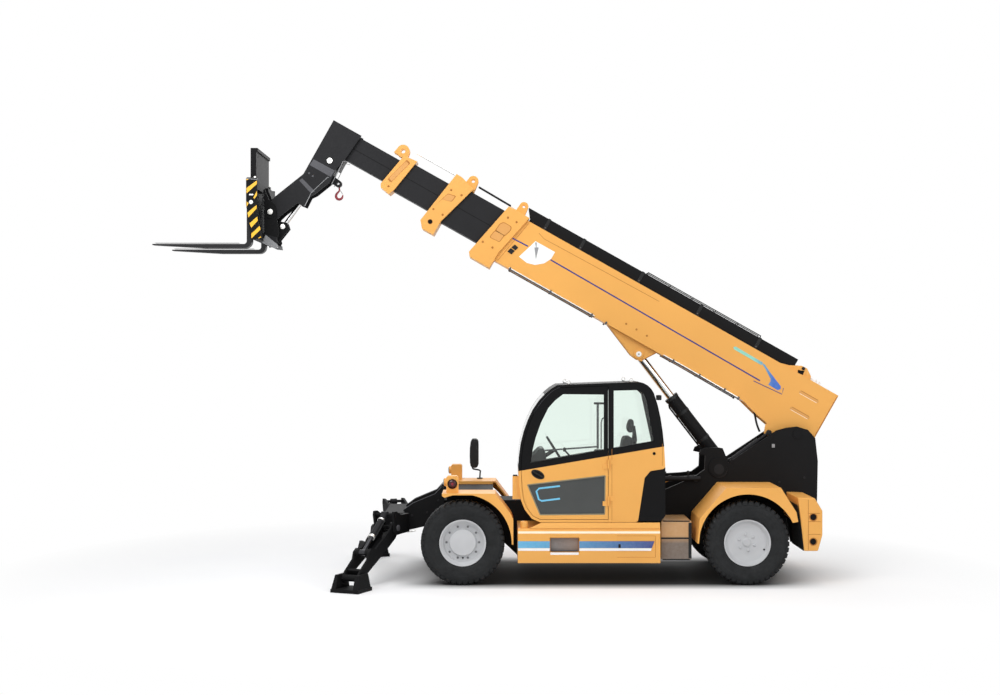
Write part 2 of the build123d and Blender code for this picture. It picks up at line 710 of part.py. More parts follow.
def wear_pads(half, z0, z1, x1, wall, inner):
    """Four pads inside a tube's mouth, a hair clear of the section that slides in them."""
    inner_half, inner_z0, inner_z1 = inner
    a0, a1 = x1 - 10 - PAD_LENGTH, x1 - 10
    middle = (z0 + z1) / 2
    shape = block(a0, a1, -PAD_HALF, PAD_HALF, z0 + wall, inner_z0 - PAD_GAP)
    shape += block(a0, a1, -PAD_HALF, PAD_HALF, inner_z1 + PAD_GAP, z1 - wall)
    shape += both(block(a0, a1, inner_half + PAD_GAP, half - wall, middle - PAD_HALF, middle + PAD_HALF))
    return shape


def boom():
    body = tube(BOOM_HALF, BOOM_Z0, BOOM_Z1, BOOM_TAIL, BOOM_END, BOOM_WALL)
    body += wear_pads(BOOM_HALF, BOOM_Z0, BOOM_Z1, BOOM_END, BOOM_WALL, SECTIONS[0][1:4])
    body += plates(TAIL_PLATE, BOOM_HALF - 40, BOOM_HALF)
    body += drum(0, 0, 135, -BOOM_HALF, BOOM_HALF)
    body += plates(LIFT_BRACKET, BRACKET_HALF - BRACKET_T, BRACKET_HALF)
    lug = [(250, -90), (420, -60), (370, -205), (285, -205)]
    body += slab(lug, BOOM_HALF - 30, BOOM_HALF, 20)
    slot_y = BRACKET_HALF - BRACKET_T
    body -= block(2000, 2560, -slot_y, slot_y, BOOM_Z0 - 1, BOOM_Z0 + 40)
    body -= drum(0, 0, PIVOT_PIN_R + PIN_GAP, -BOOM_HALF - 1, BOOM_HALF + 1)
    for a0, a1, b0 in ((-45, 219, 516), (-36, 219, 268)):
        body -= block(a0, a1, BOOM_HALF - 16, BOOM_HALF + 1, b0 - 14, b0 + 14)
        body -= block(a0, a1, -BOOM_HALF - 1, -BOOM_HALF + 16, b0 - 14, b0 + 14)
    for x, y in ((LIFT_EYE[0], BRACKET_HALF), (LIFT_EYE[0], -BRACKET_HALF - 14)):
        body += drum(x, LIFT_EYE[1], 48, y, y + 14)
    keep("boom_main", on_boom(body))

    top = BOOM_Z1 + TRAY_H
    tray = [(440, BOOM_Z1), (4495, BOOM_Z1), (4495, BOOM_Z1 + 47), (4585, top), (440, top)]
    tray = slab(tray, -TRAY_HALF, TRAY_HALF)
    inner = TRAY_HALF - TRAY_WALL
    tray -= block(439, 4600, -inner, inner, BOOM_Z1 + TRAY_WALL, top - TRAY_WALL)
    keep("hose_tray", on_boom(tray))

    for (name, half, z0, z1, x0, x1), inner in zip(SECTIONS, SECTIONS[1:]):
        shape = tube(half, z0, z1, x0, x1, SECTION_WALL)
        shape += wear_pads(half, z0, z1, x1, SECTION_WALL, inner[1:4])
        keep(name, on_boom(shape))
    for name, half, index, points, pin in COLLARS:
        if index is None:
            bore = (BOOM_HALF, BOOM_Z0, BOOM_Z1)
        else:
            bore = SECTIONS[index][1:4]
        ring = slab(points, -half, half)
        ring -= block(4000, 7000, -bore[0], bore[0], bore[1], bore[2])
        x, z, radius = pin
        foot = bore[2] + LUG_RISE
        lug = [(x - radius - 15, foot), (x - radius, z), (x + radius, z), (x + radius + 15, foot)]
        for y in (-90, 60):
            ring += slab(lug, y, y + 30)
            ring += drum(x, z, radius, y, y + 30)
        ring -= drum(x, z, radius * 0.35, -91, 91)
        keep(name, on_boom(ring))


HEAD = [  # along, square: the boom head and gooseneck, from its top rear corner forwards and down
    (7004, 622),
    (7430, 622),
    (7430, -205),
    (7610, -649),
    (7640, -800),
    (7558, -975),
    (7440, -920),
    (7405, -800),
    (7312, -588),
    (7202, -575),
    (7208, -425),
    (7162, -361),
    (7066, -122),
    (7083, 50),
    (7040, 223),
]
HEAD_HALF = 170.0
HEAD_T = 30.0
HOOK_PIN = (6973.0, -84.0)
HOOK_DROP = 148.0      # from the pin to the middle of the bow
HOOK_BOW = 43.0


def head():
    half, inner = HEAD_HALF, HEAD_HALF - HEAD_T
    name, tube_half, z0, z1, x0, x1 = SECTIONS[2]
    body = tube(tube_half, z0, z1, x0, x1, SECTION_WALL)
    body += plates(HEAD, inner, half)
    web = [(7040, 622), (7430, 622), (7430, -205), (7610, -649)]
    web += [(7582, -660), (7400, -211), (7400, 592), (7040, 592)]
    body += slab(web, -inner, inner)
    body += block(7040, 7060, -inner, inner, 60, 592) + block(7100, 7400, -inner, inner, 180, 205)
    hook_lug = [(7110, -20), (7110, -75), (7060, -122), (6973, -130), (6940, -117)]
    hook_lug += [(6927, -84), (6940, -51), (6973, -38), (7050, -30)]
    body += slab(hook_lug, -45, -25) + slab(hook_lug, 25, 45) + block(7085, 7120, -inner, inner, -80, 60)
    body += drum(*HOOK_PIN, 16, -45, 45)
    body = on_boom(body)
    body -= drum(*CARRIAGE_PIVOT, 45 + PIN_GAP, -half - 1, half + 1)
    boss = drum(*CARRIAGE_PIVOT, 95, -half, half) - drum(*CARRIAGE_PIVOT, 45 + PIN_GAP, -half - 1, half + 1)
    body += boss
    body += drum(*TILT_TOP, SMALL_PIN_R, -inner, inner)
    keep("boom_head", body)

    x, z = along_boom(*HOOK_PIN)
    eye = drum(x, z, 34, -18, 18) - drum(x, z, 16 + PIN_GAP, -19, 19)
    shank = post(x, 0, 15, z - HOOK_DROP + HOOK_BOW, z - 30)
    bend = Pos(x, 0, z - HOOK_DROP) * Rot(90, 0, 0) * Torus(HOOK_BOW, 16)
    bend -= block(x - 100, x - 2, -50, 50, z - HOOK_DROP + 5, z - 50)
    keep("hook", eye + shank + bend)


# --- carriage and forks -----------------------------------------------------------------------------------
def carriage():
    arm = [(6300, 5150), (6300, 4440), (6141, 4422), (6100, 4560), (6130, 4740), (6150, 4930), (6235, 5000)]
    body = plates(arm, HEAD_HALF + 15, HEAD_HALF + 50)
    body += drum(*CARRIAGE_PIVOT, 45, -HEAD_HALF - 66, HEAD_HALF + 66)
    for y0, y1 in ((HEAD_HALF + 15, HEAD_HALF + 58), (-HEAD_HALF - 58, -HEAD_HALF - 15)):
        body += drum(*CARRIAGE_PIVOT, 85, y0, y1)
    ear = [(6300, 4620), (6300, 4440), (6141, 4422), (5983, 4618), (6010, 4700), (6110, 4720)]
    body += plates(ear, 50, 78, 15)
    for z0, z1 in ((5080, 5190), (4440, 4550)):
        body += block(6300, 6390, -CARRIAGE_HALF, CARRIAGE_HALF, z0, z1)
    body -= block(6299, 6345, -HEAD_HALF - 12, HEAD_HALF + 12, 5079, 5191)
    side = [(6237, 4445), (6378, 4420), (6400, 4560), (6444, 4881)]
    side += [(6444, 5222), (6300, 5208), (6300, 4760), (6285, 4650)]
    body += plates(side, CARRIAGE_HALF - 30, CARRIAGE_HALF)
    body += block(6350, 6362, -CARRIAGE_HALF + 30, CARRIAGE_HALF - 30, 4550, 5080)
    body -= block(6349, 6363, -80, 80, 4920, 5050)
    for y in (-REST_HALF, -200, 160, REST_HALF - 40):
        body += block(6350, 6390, y, y + 40, 5190, 5600)
    body += block(6350, 6362, -REST_HALF, REST_HALF, 5190, 5600)
    body += block(6332, 6424, -REST_HALF, REST_HALF, 5600, 5644)
    body += both(block(6390, 6424, REST_HALF - 12, REST_HALF, 5255, 5600))
    keep("carriage", body)
    fork = [(6390, FORK_Z - 55), (7000, FORK_Z - 55), (FORK_TIP_X, FORK_Z - 15), (FORK_TIP_X, FORK_Z)]
    fork += [(6455, FORK_Z), (6455, 5245), (6390, 5245)]
    shape = slab(fork, FORK_Y - 75, FORK_Y + 75)
    heel = shape.edges().filter_by(Axis.Y).sort_by_distance((6390, FORK_Y, FORK_Z - 55))[0]
    shape = fillet(heel, 95)
    inside = shape.edges().filter_by(Axis.Y).sort_by_distance((6455, FORK_Y, FORK_Z))[0]
    shape = fillet(inside, 38)
    shape += block(6330, 6390, FORK_Y - 40, FORK_Y + 25, 5190 + SEAT_GAP, 5245)
    keep("forks", both(shape))


# --- hydraulic cylinders ----------------------------------------------------------------------------------
# name: barrel radius, rod radius, barrel length, rod length, eye radius, half width of the eyes
CYLINDERS = {
    "lift": (LIFT_BARREL_R, LIFT_ROD_R, LIFT_BARREL_L, 1514.0, 61.0, 78.0),
    "strut": (33.0, 18.0, 462.0, 436.0, 34.0, 30.0),
    "tilt": (52.0, 30.0, 690.0, 540.0, 40.0, 40.0),
    "leg": (42.0, 25.0, 445.0, 430.0, 38.0, 42.0),
}


def cylinder(kind, low, high, pin_r):
    """A cylinder's barrel and rod between two pins, from x-z points, centred on y = 0."""
    barrel_r, rod_r, barrel_l, rod_l, eye_r, eye_half = CYLINDERS[kind]
    length = math.hypot(high[0] - low[0], high[1] - low[1])
    bore = barrel_l - 60
    foot = max(eye_r, pin_r + 18)
    body = Pos(barrel_l / 2, 0, 0) * Rot(0, 90, 0) * Cylinder(barrel_r, barrel_l)
    body -= block(-1, foot * 0.6, -barrel_r - 1, barrel_r + 1, -barrel_r - 1, barrel_r + 1)
    body += drum(0, 0, foot, -eye_half, eye_half)
    body -= Pos(60 + bore / 2, 0, 0) * Rot(0, 90, 0) * Cylinder(rod_r + MOVE_GAP, bore + 1)
    lip = Pos(barrel_l - 20, 0, 0) * Rot(0, 90, 0) * (Cylinder(barrel_r, 40) - Cylinder(rod_r + PIN_GAP, 42))
    body += lip
    widest = max(eye_half, barrel_r) + 1
    body -= drum(0, 0, pin_r + PIN_GAP, -widest, widest)
    rod = Pos(length - rod_l / 2, 0, 0) * Rot(0, 90, 0) * Cylinder(rod_r, rod_l)
    rod += drum(length, 0, eye_r, -eye_half, eye_half)
    place = Pos(low[0], 0, low[1]) * Rot(0, -math.degrees(math.atan2(high[1] - low[1], high[0] - low[0])), 0)
    return place * body, place * rod


def cylinders():
    barrel, rod = cylinder("lift", LIFT_LOW, along_boom(*LIFT_EYE), LOW_PIN_R)
    keep("lift_barrel", barrel)
    keep("lift_rod", rod)
    barrel, rod = cylinder("strut", STRUT_LOW, along_boom(*STRUT_EYE), SMALL_PIN_R)
    keep("strut_barrel", Pos(0, STRUT_Y, 0) * barrel)
    keep("strut_rod", Pos(0, STRUT_Y, 0) * rod)
    barrel, rod = cylinder("tilt", TILT_TOP, TILT_PIN, SMALL_PIN_R)
    keep("tilt_barrel", barrel)
    keep("tilt_rod", rod)


# --- stabilisers ------------------------------------------------------------------------------------------
LEG_HALF = 115.0
LEG_PLATE = 25.0
LEG_PIN_R = 32.0
ANKLE_R = 20.0
EAR_T = 30.0
ARM = [(270, 700), (258, 1110), (278, 1193), (385, 1085), (681, 962)]
ARM += [(800, 878), (850, 760), (847, 582), (539, 653)]
ARM_BEAM = (790.0, 1040.0, 640.0, 862.0)   # the beam between the arms: x from the front axle, z
EAR = [(-330, -80), (30, -90), (85, -40), (85, 40), (118, 165)]
EAR += [(105, 217), (35, 217), (-90, 160), (-330, 160)]
FOOT_BACK = 170.0      # a foot's length behind and ahead of its ankle
FOOT_AHEAD = 180.0
FOOT_HALF = 185.0
FOOT_PLATE = 45.0
FOOT_TOP = 215.0


def at_leg(shape):
    """Moves a piece modelled outwards along +X from the left leg's pivot to its place."""
    x, y, z = LEG_PIVOT
    return Pos(FRONT + x, y, z) * Rot(0, 0, LEG_PLAN) * shape


def stabilisers():
    frame = both(slab(forward(ARM), FRAME_HALF, FRAME_HALF + 60))
    x0, x1, z0, z1 = ARM_BEAM
    frame += block(FRONT + x0, FRONT + x1, -600, 600, z0, z1)
    near, far = LEG_HALF + MOVE_GAP + 2, LEG_HALF + MOVE_GAP + 2 + EAR_T
    ears = plates(EAR, near, far)
    ears += drum(0, 0, LEG_PIN_R, -far - 8, far + 8)
    ears += drum(*LEG_TOP_PIN, ANKLE_R, -far - 6, far + 6)
    ears += block(-330, -190, -near, near, -80, 160)
    frame += both(at_leg(ears))
    keep("stabiliser_frame", frame)

    drop = math.degrees(math.atan2(LEG_DROP, LEG_REACH))
    reach = math.hypot(LEG_DROP, LEG_REACH)
    eye_turn = math.radians(drop)
    eye = (
        LEG_EYE[0] * math.cos(eye_turn) - LEG_EYE[1] * math.sin(eye_turn),
        LEG_EYE[0] * math.sin(eye_turn) + LEG_EYE[1] * math.cos(eye_turn),
    )
    side = [
        (-90, -80),
        (60, -125),
        (400, -110),
        (reach - 60, -60),
        (reach + 40, -45),
        (reach + 50, 20),
        (reach - 60, 60),
        (eye[0] + 110, 75),
        (eye[0] + 40, eye[1] + 40),
        (eye[0] - 40, eye[1] + 40),
        (eye[0] - 130, 70),
        (240, 58),
        (110, 58),
        (40, 80),
        (-70, 80),
    ]
    leg = plates(side, LEG_HALF - LEG_PLATE, LEG_HALF)
    leg += both(drum(0, 0, 70, LEG_HALF - 60, LEG_HALF)) + drum(reach, 0, 42, -LEG_HALF, LEG_HALF)
    leg += block(130, 420, -LEG_HALF + LEG_PLATE, LEG_HALF - LEG_PLATE, -100, -80)
    leg += block(reach - 130, reach - 90, -LEG_HALF + LEG_PLATE, LEG_HALF - LEG_PLATE, -50, 50)
    leg -= drum(0, 0, LEG_PIN_R + PIN_GAP, -LEG_HALF - 1, LEG_HALF + 1)
    leg -= drum(reach, 0, ANKLE_R + PIN_GAP, -LEG_HALF - 1, LEG_HALF + 1)
    leg += both(drum(*eye, 45, CYLINDERS["leg"][5] + 2, LEG_HALF - LEG_PLATE))
    leg = at_leg(Rot(0, drop, 0) * leg)
    barrel, rod = cylinder("leg", LEG_TOP_PIN, LEG_EYE, ANKLE_R)
    ground = -LEG_PIVOT[2]
    back, ahead = LEG_REACH - FOOT_BACK, LEG_REACH + FOOT_AHEAD
    slot = LEG_HALF + MOVE_GAP
    foot = block(back - 12, ahead, -FOOT_HALF - 12, FOOT_HALF + 12, ground, ground + FOOT_PLATE)
    middle = (back + ahead) / 2
    low = Pos(middle, 0, ground + FOOT_PLATE) * Rectangle(ahead - back, FOOT_HALF * 2)
    high = Pos(middle - 15, 0, ground + FOOT_TOP) * Rectangle(ahead - back - 80, FOOT_HALF * 2 - 50)
    foot += loft(Sketch() + [low, high])
    foot -= block(back - 20, ahead + 20, -slot, slot, ground + FOOT_PLATE, ground + FOOT_TOP + 1)
    foot += drum(LEG_REACH, -LEG_DROP, ANKLE_R, -slot - 20, slot + 20)
    pieces = (("leg", leg), ("foot", at_leg(foot)), ("leg_barrel", at_leg(barrel)), ("leg_rod", at_leg(rod)))
    for side_name, flip in (("left", False), ("right", True)):
        for node, shape in pieces:
            keep(node + "_" + side_name, mirror(shape, about=Plane.XZ) if flip else shape)


def main():
    wheels()
    chassis()
    tower()
    counterweight()
    side_boxes()
    fenders()
    cab()
    cab_inside()
    engine()
    front_fittings()
    boom()
    head()
    carriage()
    cylinders()
    stabilisers()
    os.makedirs("parts", exist_ok=True)
    for name, shape in PARTS.items():
        export_step(Pos(-ORIGIN_X, 0, 0) * shape, f"parts/{name}.step")
    print(len(PARTS), "nodes, origin x", round(ORIGIN_X, 1))


main()
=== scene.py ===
import bpy
import bmesh
import json
import math
from mathutils import Matrix, Vector

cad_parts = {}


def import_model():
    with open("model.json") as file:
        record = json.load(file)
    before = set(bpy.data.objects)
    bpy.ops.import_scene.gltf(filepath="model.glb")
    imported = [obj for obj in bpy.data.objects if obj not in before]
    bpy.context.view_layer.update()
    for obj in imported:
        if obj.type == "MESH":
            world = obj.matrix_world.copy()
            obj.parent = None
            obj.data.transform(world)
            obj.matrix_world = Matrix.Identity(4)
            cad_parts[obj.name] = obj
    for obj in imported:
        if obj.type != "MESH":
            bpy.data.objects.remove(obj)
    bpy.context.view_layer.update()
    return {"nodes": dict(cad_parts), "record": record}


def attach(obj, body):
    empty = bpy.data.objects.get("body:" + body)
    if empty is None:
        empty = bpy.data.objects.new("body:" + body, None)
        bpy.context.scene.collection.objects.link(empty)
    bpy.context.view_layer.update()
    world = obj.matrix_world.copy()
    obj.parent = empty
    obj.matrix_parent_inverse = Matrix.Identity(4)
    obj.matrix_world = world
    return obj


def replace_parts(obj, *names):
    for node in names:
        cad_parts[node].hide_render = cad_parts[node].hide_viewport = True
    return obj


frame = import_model()

# --- sizes, in metres, laid out as the CAD is: from the rear axle, X forwards, Y left, Z up ---------------
ORIGIN = 3.1611          # the model's origin, ahead of the rear axle
FRONT = 3.630            # front axle
AXLE_Z = 0.536
PIVOT = (-0.791, 1.876)  # boom pivot, x and z
LIFT_EYE = (2.340, -0.100)   # lift cylinder's rod eye, along and square to the boom
HOOK_PIN = (6.973, -0.084)   # along and square to the boom
MIRROR_Y = -1.13
LAMP = (3.764, 1.060, 1.282)  # side lamp, on the left
BOOM_ANGLE = math.radians(29.4)
SIDES = (("left", 1), ("right", -1))
AXLES = (("front", FRONT), ("rear", 0.0))


def at(x, y, z):
    """A point given from the rear axle, in the model's frame."""
    return Vector((x - ORIGIN, y, z))


def on_boom(along, y, square):
    """A point given along and square to the boom, from its pivot, in the model's frame."""
    c, s = math.cos(BOOM_ANGLE), math.sin(BOOM_ANGLE)
    return at(PIVOT[0] + along * c - square * s, y, PIVOT[1] + along * s + square * c)


# --- materials --------------------------------------------------------------------------------------------
def srgb(r, g, b):
    """A linear colour from 0-255 display values."""
    out = []
    for v in (r, g, b):
        v /= 255
        out.append(v / 12.92 if v <= 0.04045 else ((v + 0.055) / 1.055) ** 2.4)
    return (*out, 1.0)


class Nodes:
    """A material's node tree with short calls for the nodes it needs."""

    def __init__(self, name):
        self.material = bpy.data.materials.new(name)
        self.material.use_nodes = True
        self.tree = self.material.node_tree
        self.shader = self.tree.nodes["Principled BSDF"]
        self.coords = self.tree.nodes.new("ShaderNodeTexCoord")

    def add(self, kind, **sockets):
        node = self.tree.nodes.new(kind)
        for key, value in sockets.items():
            self.put(node, key, value)
        return node

    def put(self, node, key, value):
        socket = node.inputs[int(key[1:])] if key[0] == "i" and key[1:].isdigit() else node.inputs[key.replace("_",
             " ")]
        if isinstance(value, bpy.types.NodeSocket):
            self.tree.links.new(value, socket)
        else:
            socket.default_value = value

    def set(self, **sockets):
        for key, value in sockets.items():
            self.put(self.shader, key, value)

    def noise(self, scale, detail=3.0, roughness=0.5, stretch=None):
        vector = self.coords.outputs["Object"]
        if stretch:
            vector = self.add("ShaderNodeMapping", Vector=vector, Scale=stretch).outputs[0]
        return self.add("ShaderNodeTexNoise", Vector=vector, Scale=scale, Detail=detail,
                        Roughness=roughness).outputs["Fac"]

    def math(self, operation, a, b=0.0, c=0.0, clamp=False):
        node = self.tree.nodes.new("ShaderNodeMath")
        node.operation = operation
        node.use_clamp = clamp
        for n, value in enumerate((a, b, c)):
            self.put(node, f"i{n}", value)
        return node.outputs[0]

    def ramp(self, fac, stops, interpolation="LINEAR"):
        node = self.tree.nodes.new("ShaderNodeValToRGB")
        node.color_ramp.interpolation = interpolation
        elements = node.color_ramp.elements
        while len(elements) < len(stops):
            elements.new(0.5)
        for element, (place, colour) in zip(elements, stops):
            element.position = place
            element.color = colour
        self.put(node, "Fac", fac)
        return node.outputs["Color"]

    def mix(self, fac, a, b):
        node = self.tree.nodes.new("ShaderNodeMix")
        node.data_type = "RGBA"
        for n, value in ((0, fac), (6, a), (7, b)):
            self.put(node, f"i{n}", value)
        return node.outputs[2]

    def span(self, value, low, high, to_low=0.0, to_high=1.0):
        node = self.tree.nodes.new("ShaderNodeMapRange")
        for n, v in enumerate((value, low, high, to_low, to_high)):
            self.put(node, f"i{n}", v)
        return node.outputs[0]

    def place(self):
        node = self.add("ShaderNodeSeparateXYZ", Vector=self.coords.outputs["Object"])
        return node.outputs

    def across(self, axis, low, high, to_low=0.0, to_high=1.0):
        return self.span(self.place()[axis], low, high, to_low, to_high)

    def bump(self, height, strength, distance=0.001):
        self.set(Normal=self.add("ShaderNodeBump", Strength=strength, Distance=distance, Height=height).outputs[0])


def shade(colour, factor):
    return (*[min(1.0, c * factor) for c in colour[:3]], 1.0)


def paint(name, colour, roughness, variation=0.06, orange_peel=0.08, dust=0.0, dust_top=0.9, shine=0.5):
    m = Nodes(name)
    tone = m.ramp(m.noise(1.3, 4.0), [(0.35, shade(colour, 1 - variation)), (0.65, shade(colour, 1 + variation))])
    fine = m.noise(38.0, 2.0)
    if dust:
        height = m.place()[2]
        low = m.span(height, dust_top, 0.05)
        amount = m.math("MULTIPLY", low, m.span(m.noise(5.0, 6.0), 0.3, 0.75), clamp=True)
        amount = m.math("MULTIPLY", amount, dust)
        tone = m.mix(amount, tone, srgb(150, 140, 126))
    m.set(Base_Color=tone)
    m.set(Roughness=m.span(fine, 0.3, 0.7, roughness - 0.04, roughness + 0.05))
    m.set(Specular_IOR_Level=shine)
    m.bump(m.noise(420.0, 1.0), orange_peel, 0.0004)
    return m.material


def fading(name, axis, low, colour_low, high, colour_high, roughness=0.4):
    """A paint that runs from one colour to another along an axis, between two places on it."""
    m = Nodes(name)
    tone = m.mix(m.across(axis, low, high), colour_low, colour_high)
    m.set(Base_Color=m.mix(m.math("MULTIPLY", m.noise(25.0, 3.0), 0.12), tone, srgb(235, 235, 235)))
    m.set(Roughness=m.span(m.noise(38.0), 0.3, 0.7, roughness - 0.04, roughness + 0.05))
    return m.material


def metal(name, colour, roughness, grain=(1, 1, 1), scale=60.0, bump=0.1):
    m = Nodes(name)
    lines = m.noise(scale, 4.0, 0.6, grain)
    m.set(Base_Color=m.ramp(lines, [(0.3, shade(colour, 0.88)), (0.7, colour)]), Metallic=1.0)
    m.set(Roughness=m.span(lines, 0.3, 0.7, roughness * 0.75, roughness * 1.3))
    m.bump(lines, bump, 0.0006)
    return m.material


def rubber(name, colour, roughness=0.75, grain=240.0):
    m = Nodes(name)
    m.set(Base_Color=m.ramp(m.noise(9.0, 6.0), [(0.3, shade(colour, 0.8)), (0.7, shade(colour, 1.25))]))
    m.set(Roughness=m.span(m.noise(30.0), 0.3, 0.7, roughness - 0.08, roughness + 0.1), Specular_IOR_Level=0.2)
    m.bump(m.noise(grain, 3.0), 0.25, 0.0008)
    return m.material


def plastic(name, colour, roughness=0.5, grain=600.0, bump=0.18):
    m = Nodes(name)
    m.set(Base_Color=m.ramp(m.noise(4.0, 4.0), [(0.3, shade(colour, 0.9)), (0.7, shade(colour, 1.12))]))
    m.set(Roughness=m.span(m.noise(50.0), 0.3, 0.7, roughness - 0.05, roughness + 0.06), Specular_IOR_Level=0.22)
    m.bump(m.noise(grain, 2.0), bump, 0.0004)
    return m.material


def glass(name, tint, roughness=0.0):
    m = Nodes(name)
    m.set(Base_Color=m.ramp(m.noise(0.7, 2.0), [(0.3, tint), (0.7, shade(tint, 0.97))]))
    m.set(Transmission_Weight=1.0, IOR=1.45, Roughness=roughness)
    return m.material


ORANGE = srgb(230, 168, 86)
MATERIALS = {
    "orange": paint("orange_paint", ORANGE, 0.42, 0.025, dust=0.06, dust_top=0.6, shine=0.3),
    "black": paint("charcoal_paint", srgb(33, 33, 35), 0.55, 0.10, orange_peel=0.12, shine=0.14),
    "trim": plastic("black_moulding", srgb(29, 30, 31), 0.5),
    "engine": metal("cast_engine", (0.30, 0.31, 0.32, 1), 0.5, scale=120.0, bump=0.4),
    "glass": glass("pale_green_glass", (0.90, 0.965, 0.925, 1)),
    "dark": paint("dark_paint", srgb(24, 24, 25), 0.6, 0.10, orange_peel=0.12, shine=0.08),
    "frame": paint("frame_paint", srgb(19, 19, 20), 0.48, 0.08, orange_peel=0.08, shine=0.08),
    "shaded": paint("shaded_orange", srgb(212, 152, 80), 0.5, 0.04),
    "leg_rod": metal("leg_rod_steel", (0.055, 0.055, 0.06, 1), 0.34, scale=90.0, bump=0.1),
    "edge": paint("pane_edge", srgb(128, 122, 98), 0.5, 0.05),
    "hook_dark": paint("hook_eye", srgb(52, 22, 24), 0.5, 0.1),
    # near-white for the rims' outer flanges, a painted highlight; the hook's pin ends use it too
    "rim_edge": paint("rim_edge_highlight", srgb(236, 237, 238), 0.32, 0.03, orange_peel=0.1),
    # opaque dark paint in place of the lower pane's glass
    "dark_glass": paint("dark_pane_paint", srgb(55, 58, 57), 0.06, 0.12, orange_peel=0.0, shine=0.6),
    "rubber": rubber("tyre_rubber", srgb(34, 35, 36)),
    "rim": paint("rim_paint", srgb(184, 185, 187), 0.40, 0.12, orange_peel=0.25),
    # darker grey for the rims' recess: painted shade
    "rim_low": paint("rim_recess_painted_shade", srgb(126, 127, 129), 0.45, 0.14, orange_peel=0.25),
    "chrome": metal("hard_chrome", (0.80, 0.80, 0.80, 1), 0.16, scale=30.0, bump=0.02),
    "pin": metal("pin_steel", (0.86, 0.85, 0.82, 1), 0.32, scale=80.0, bump=0.05),
    "fork": paint("fork_paint", srgb(32, 32, 34), 0.42, 0.12, orange_peel=0.2, shine=0.2),
    "red": paint("red_paint", srgb(132, 16, 34), 0.35, 0.10),
    "fabric": plastic("seat_cloth", srgb(40, 41, 43), 0.85, 900.0, 0.5),
    "blue": paint("blue_line", srgb(28, 40, 120), 0.4, 0.04),
    "white": paint("white_film", srgb(240, 240, 238), 0.4, 0.015),
    # pale film: painted highlight, on the box's top edge and the lower lips of the tail slots
    "pale": paint("painted_highlight_film", srgb(255, 240, 212), 0.4, 0.015),
    "yellow": paint("hazard_yellow", srgb(250, 190, 40), 0.4, 0.05),
    # mid grey for brackets, rims and marks, and for the painted highlight on the boom head's edges
    "grey": paint("grey_parts_and_highlights", srgb(140, 141, 143), 0.4, 0.08),
    "band": paint("charcoal_band", srgb(84, 84, 88), 0.45, 0.06, shine=0.2),
    "deep": paint("deep_black", srgb(14, 14, 15), 0.6, 0.1, shine=0.1),
    "line": paint("groove_shadow", srgb(176, 116, 58), 0.6, 0.05, shine=0.1),
    # step recess: grey-brown painted shade, its tone shifting from front to back
    "recess": fading("step_recess_painted_shade", 0, -0.66, srgb(112, 108, 106), -1.02, srgb(140, 116, 100)),
    "lens": paint("red_lens", srgb(58, 10, 18), 0.12, 0.15, orange_peel=0.0),
    "clear": paint("lamp_lens", srgb(26, 27, 30), 0.06, 0.2, orange_peel=0.0, shine=0.8),
    "stripe": fading("stripe_blue", 0, -0.25, srgb(84, 172, 214), -1.95, srgb(14, 44, 122)),
    "teal": fading("chevron_blue", 0, on_boom(1.0, 0, 0.6).x, srgb(132, 204, 184), on_boom(0.6, 0, 0.45).x,
                   srgb(8, 92, 186)),
    "mark": paint("door_blue", srgb(110, 190, 225), 0.3, 0.05),
    # tank: orange darkened to painted shade, darker still below z 0.52 m
    "tank": fading("tank_painted_shade", 2, 0.52, srgb(104, 88, 74), 0.62, srgb(186, 140, 84)),
    "liner": rubber("fender_liner", srgb(20, 20, 21), 0.8),
    "mirror_glass": metal("mirror_glass", (0.72, 0.74, 0.75, 1), 0.04, scale=3.0, bump=0.0),
}

# --- pieces -----------------------------------------------------------------------------------------------
BODY_OF = {node: body for body, nodes in frame["record"]["behaviour"]["bodies"].items() for node in nodes}
SLOT_OF = {entry["node"]: entry["material_slot"] for entry in frame["record"]["subparts"]}
SLOT_MATERIAL = {
    "orange_paint": "orange",
    "hood_shell": "orange",
    "black_paint": "black",
    "cab_trim": "trim",
    "engine_metal": "engine",
    "glass": "glass",
    "seat_fabric": "fabric",
    "fork_steel": "fork",
    "hook_paint": "red",
    "chrome_rod": "chrome",
    "tyre_rubber": "rubber",
    "rim_paint": "rim",
}

# material, body and slot that often go together
ROOT_TRIM = ("trim", "root", "black_paint")
DOOR_TRIM = ("trim", "door", "black_paint")
ROOT_BLACK = ("black", "root", "black_paint")
ROOT_BAND = ("band", "root", "black_paint")
ROOT_LINE = ("line", "root", "orange_paint")
BOOM_TRIM = ("trim", "boom", "black_paint")
ROOT_DEEP = ("deep", "root", "black_paint")
BOOM_BLACK = ("black", "boom", "black_paint")
DOOR_BAND = ("band", "door", "black_paint")


def put(obj):
    bpy.context.scene.collection.objects.link(obj)
    return obj


def smooth(obj, angle=35.0):
    for polygon in obj.data.polygons:
        polygon.use_smooth = True
    with bpy.context.temp_override(object=obj, active_object=obj, selected_objects=[obj],
                                   selected_editable_objects=[obj]):
        bpy.ops.object.shade_smooth_by_angle(angle=math.radians(angle))


def apply_modifiers(obj):
    graph = bpy.context.evaluated_depsgraph_get()
    mesh = bpy.data.meshes.new_from_object(obj.evaluated_get(graph))
    obj.modifiers.clear()
    obj.data = mesh


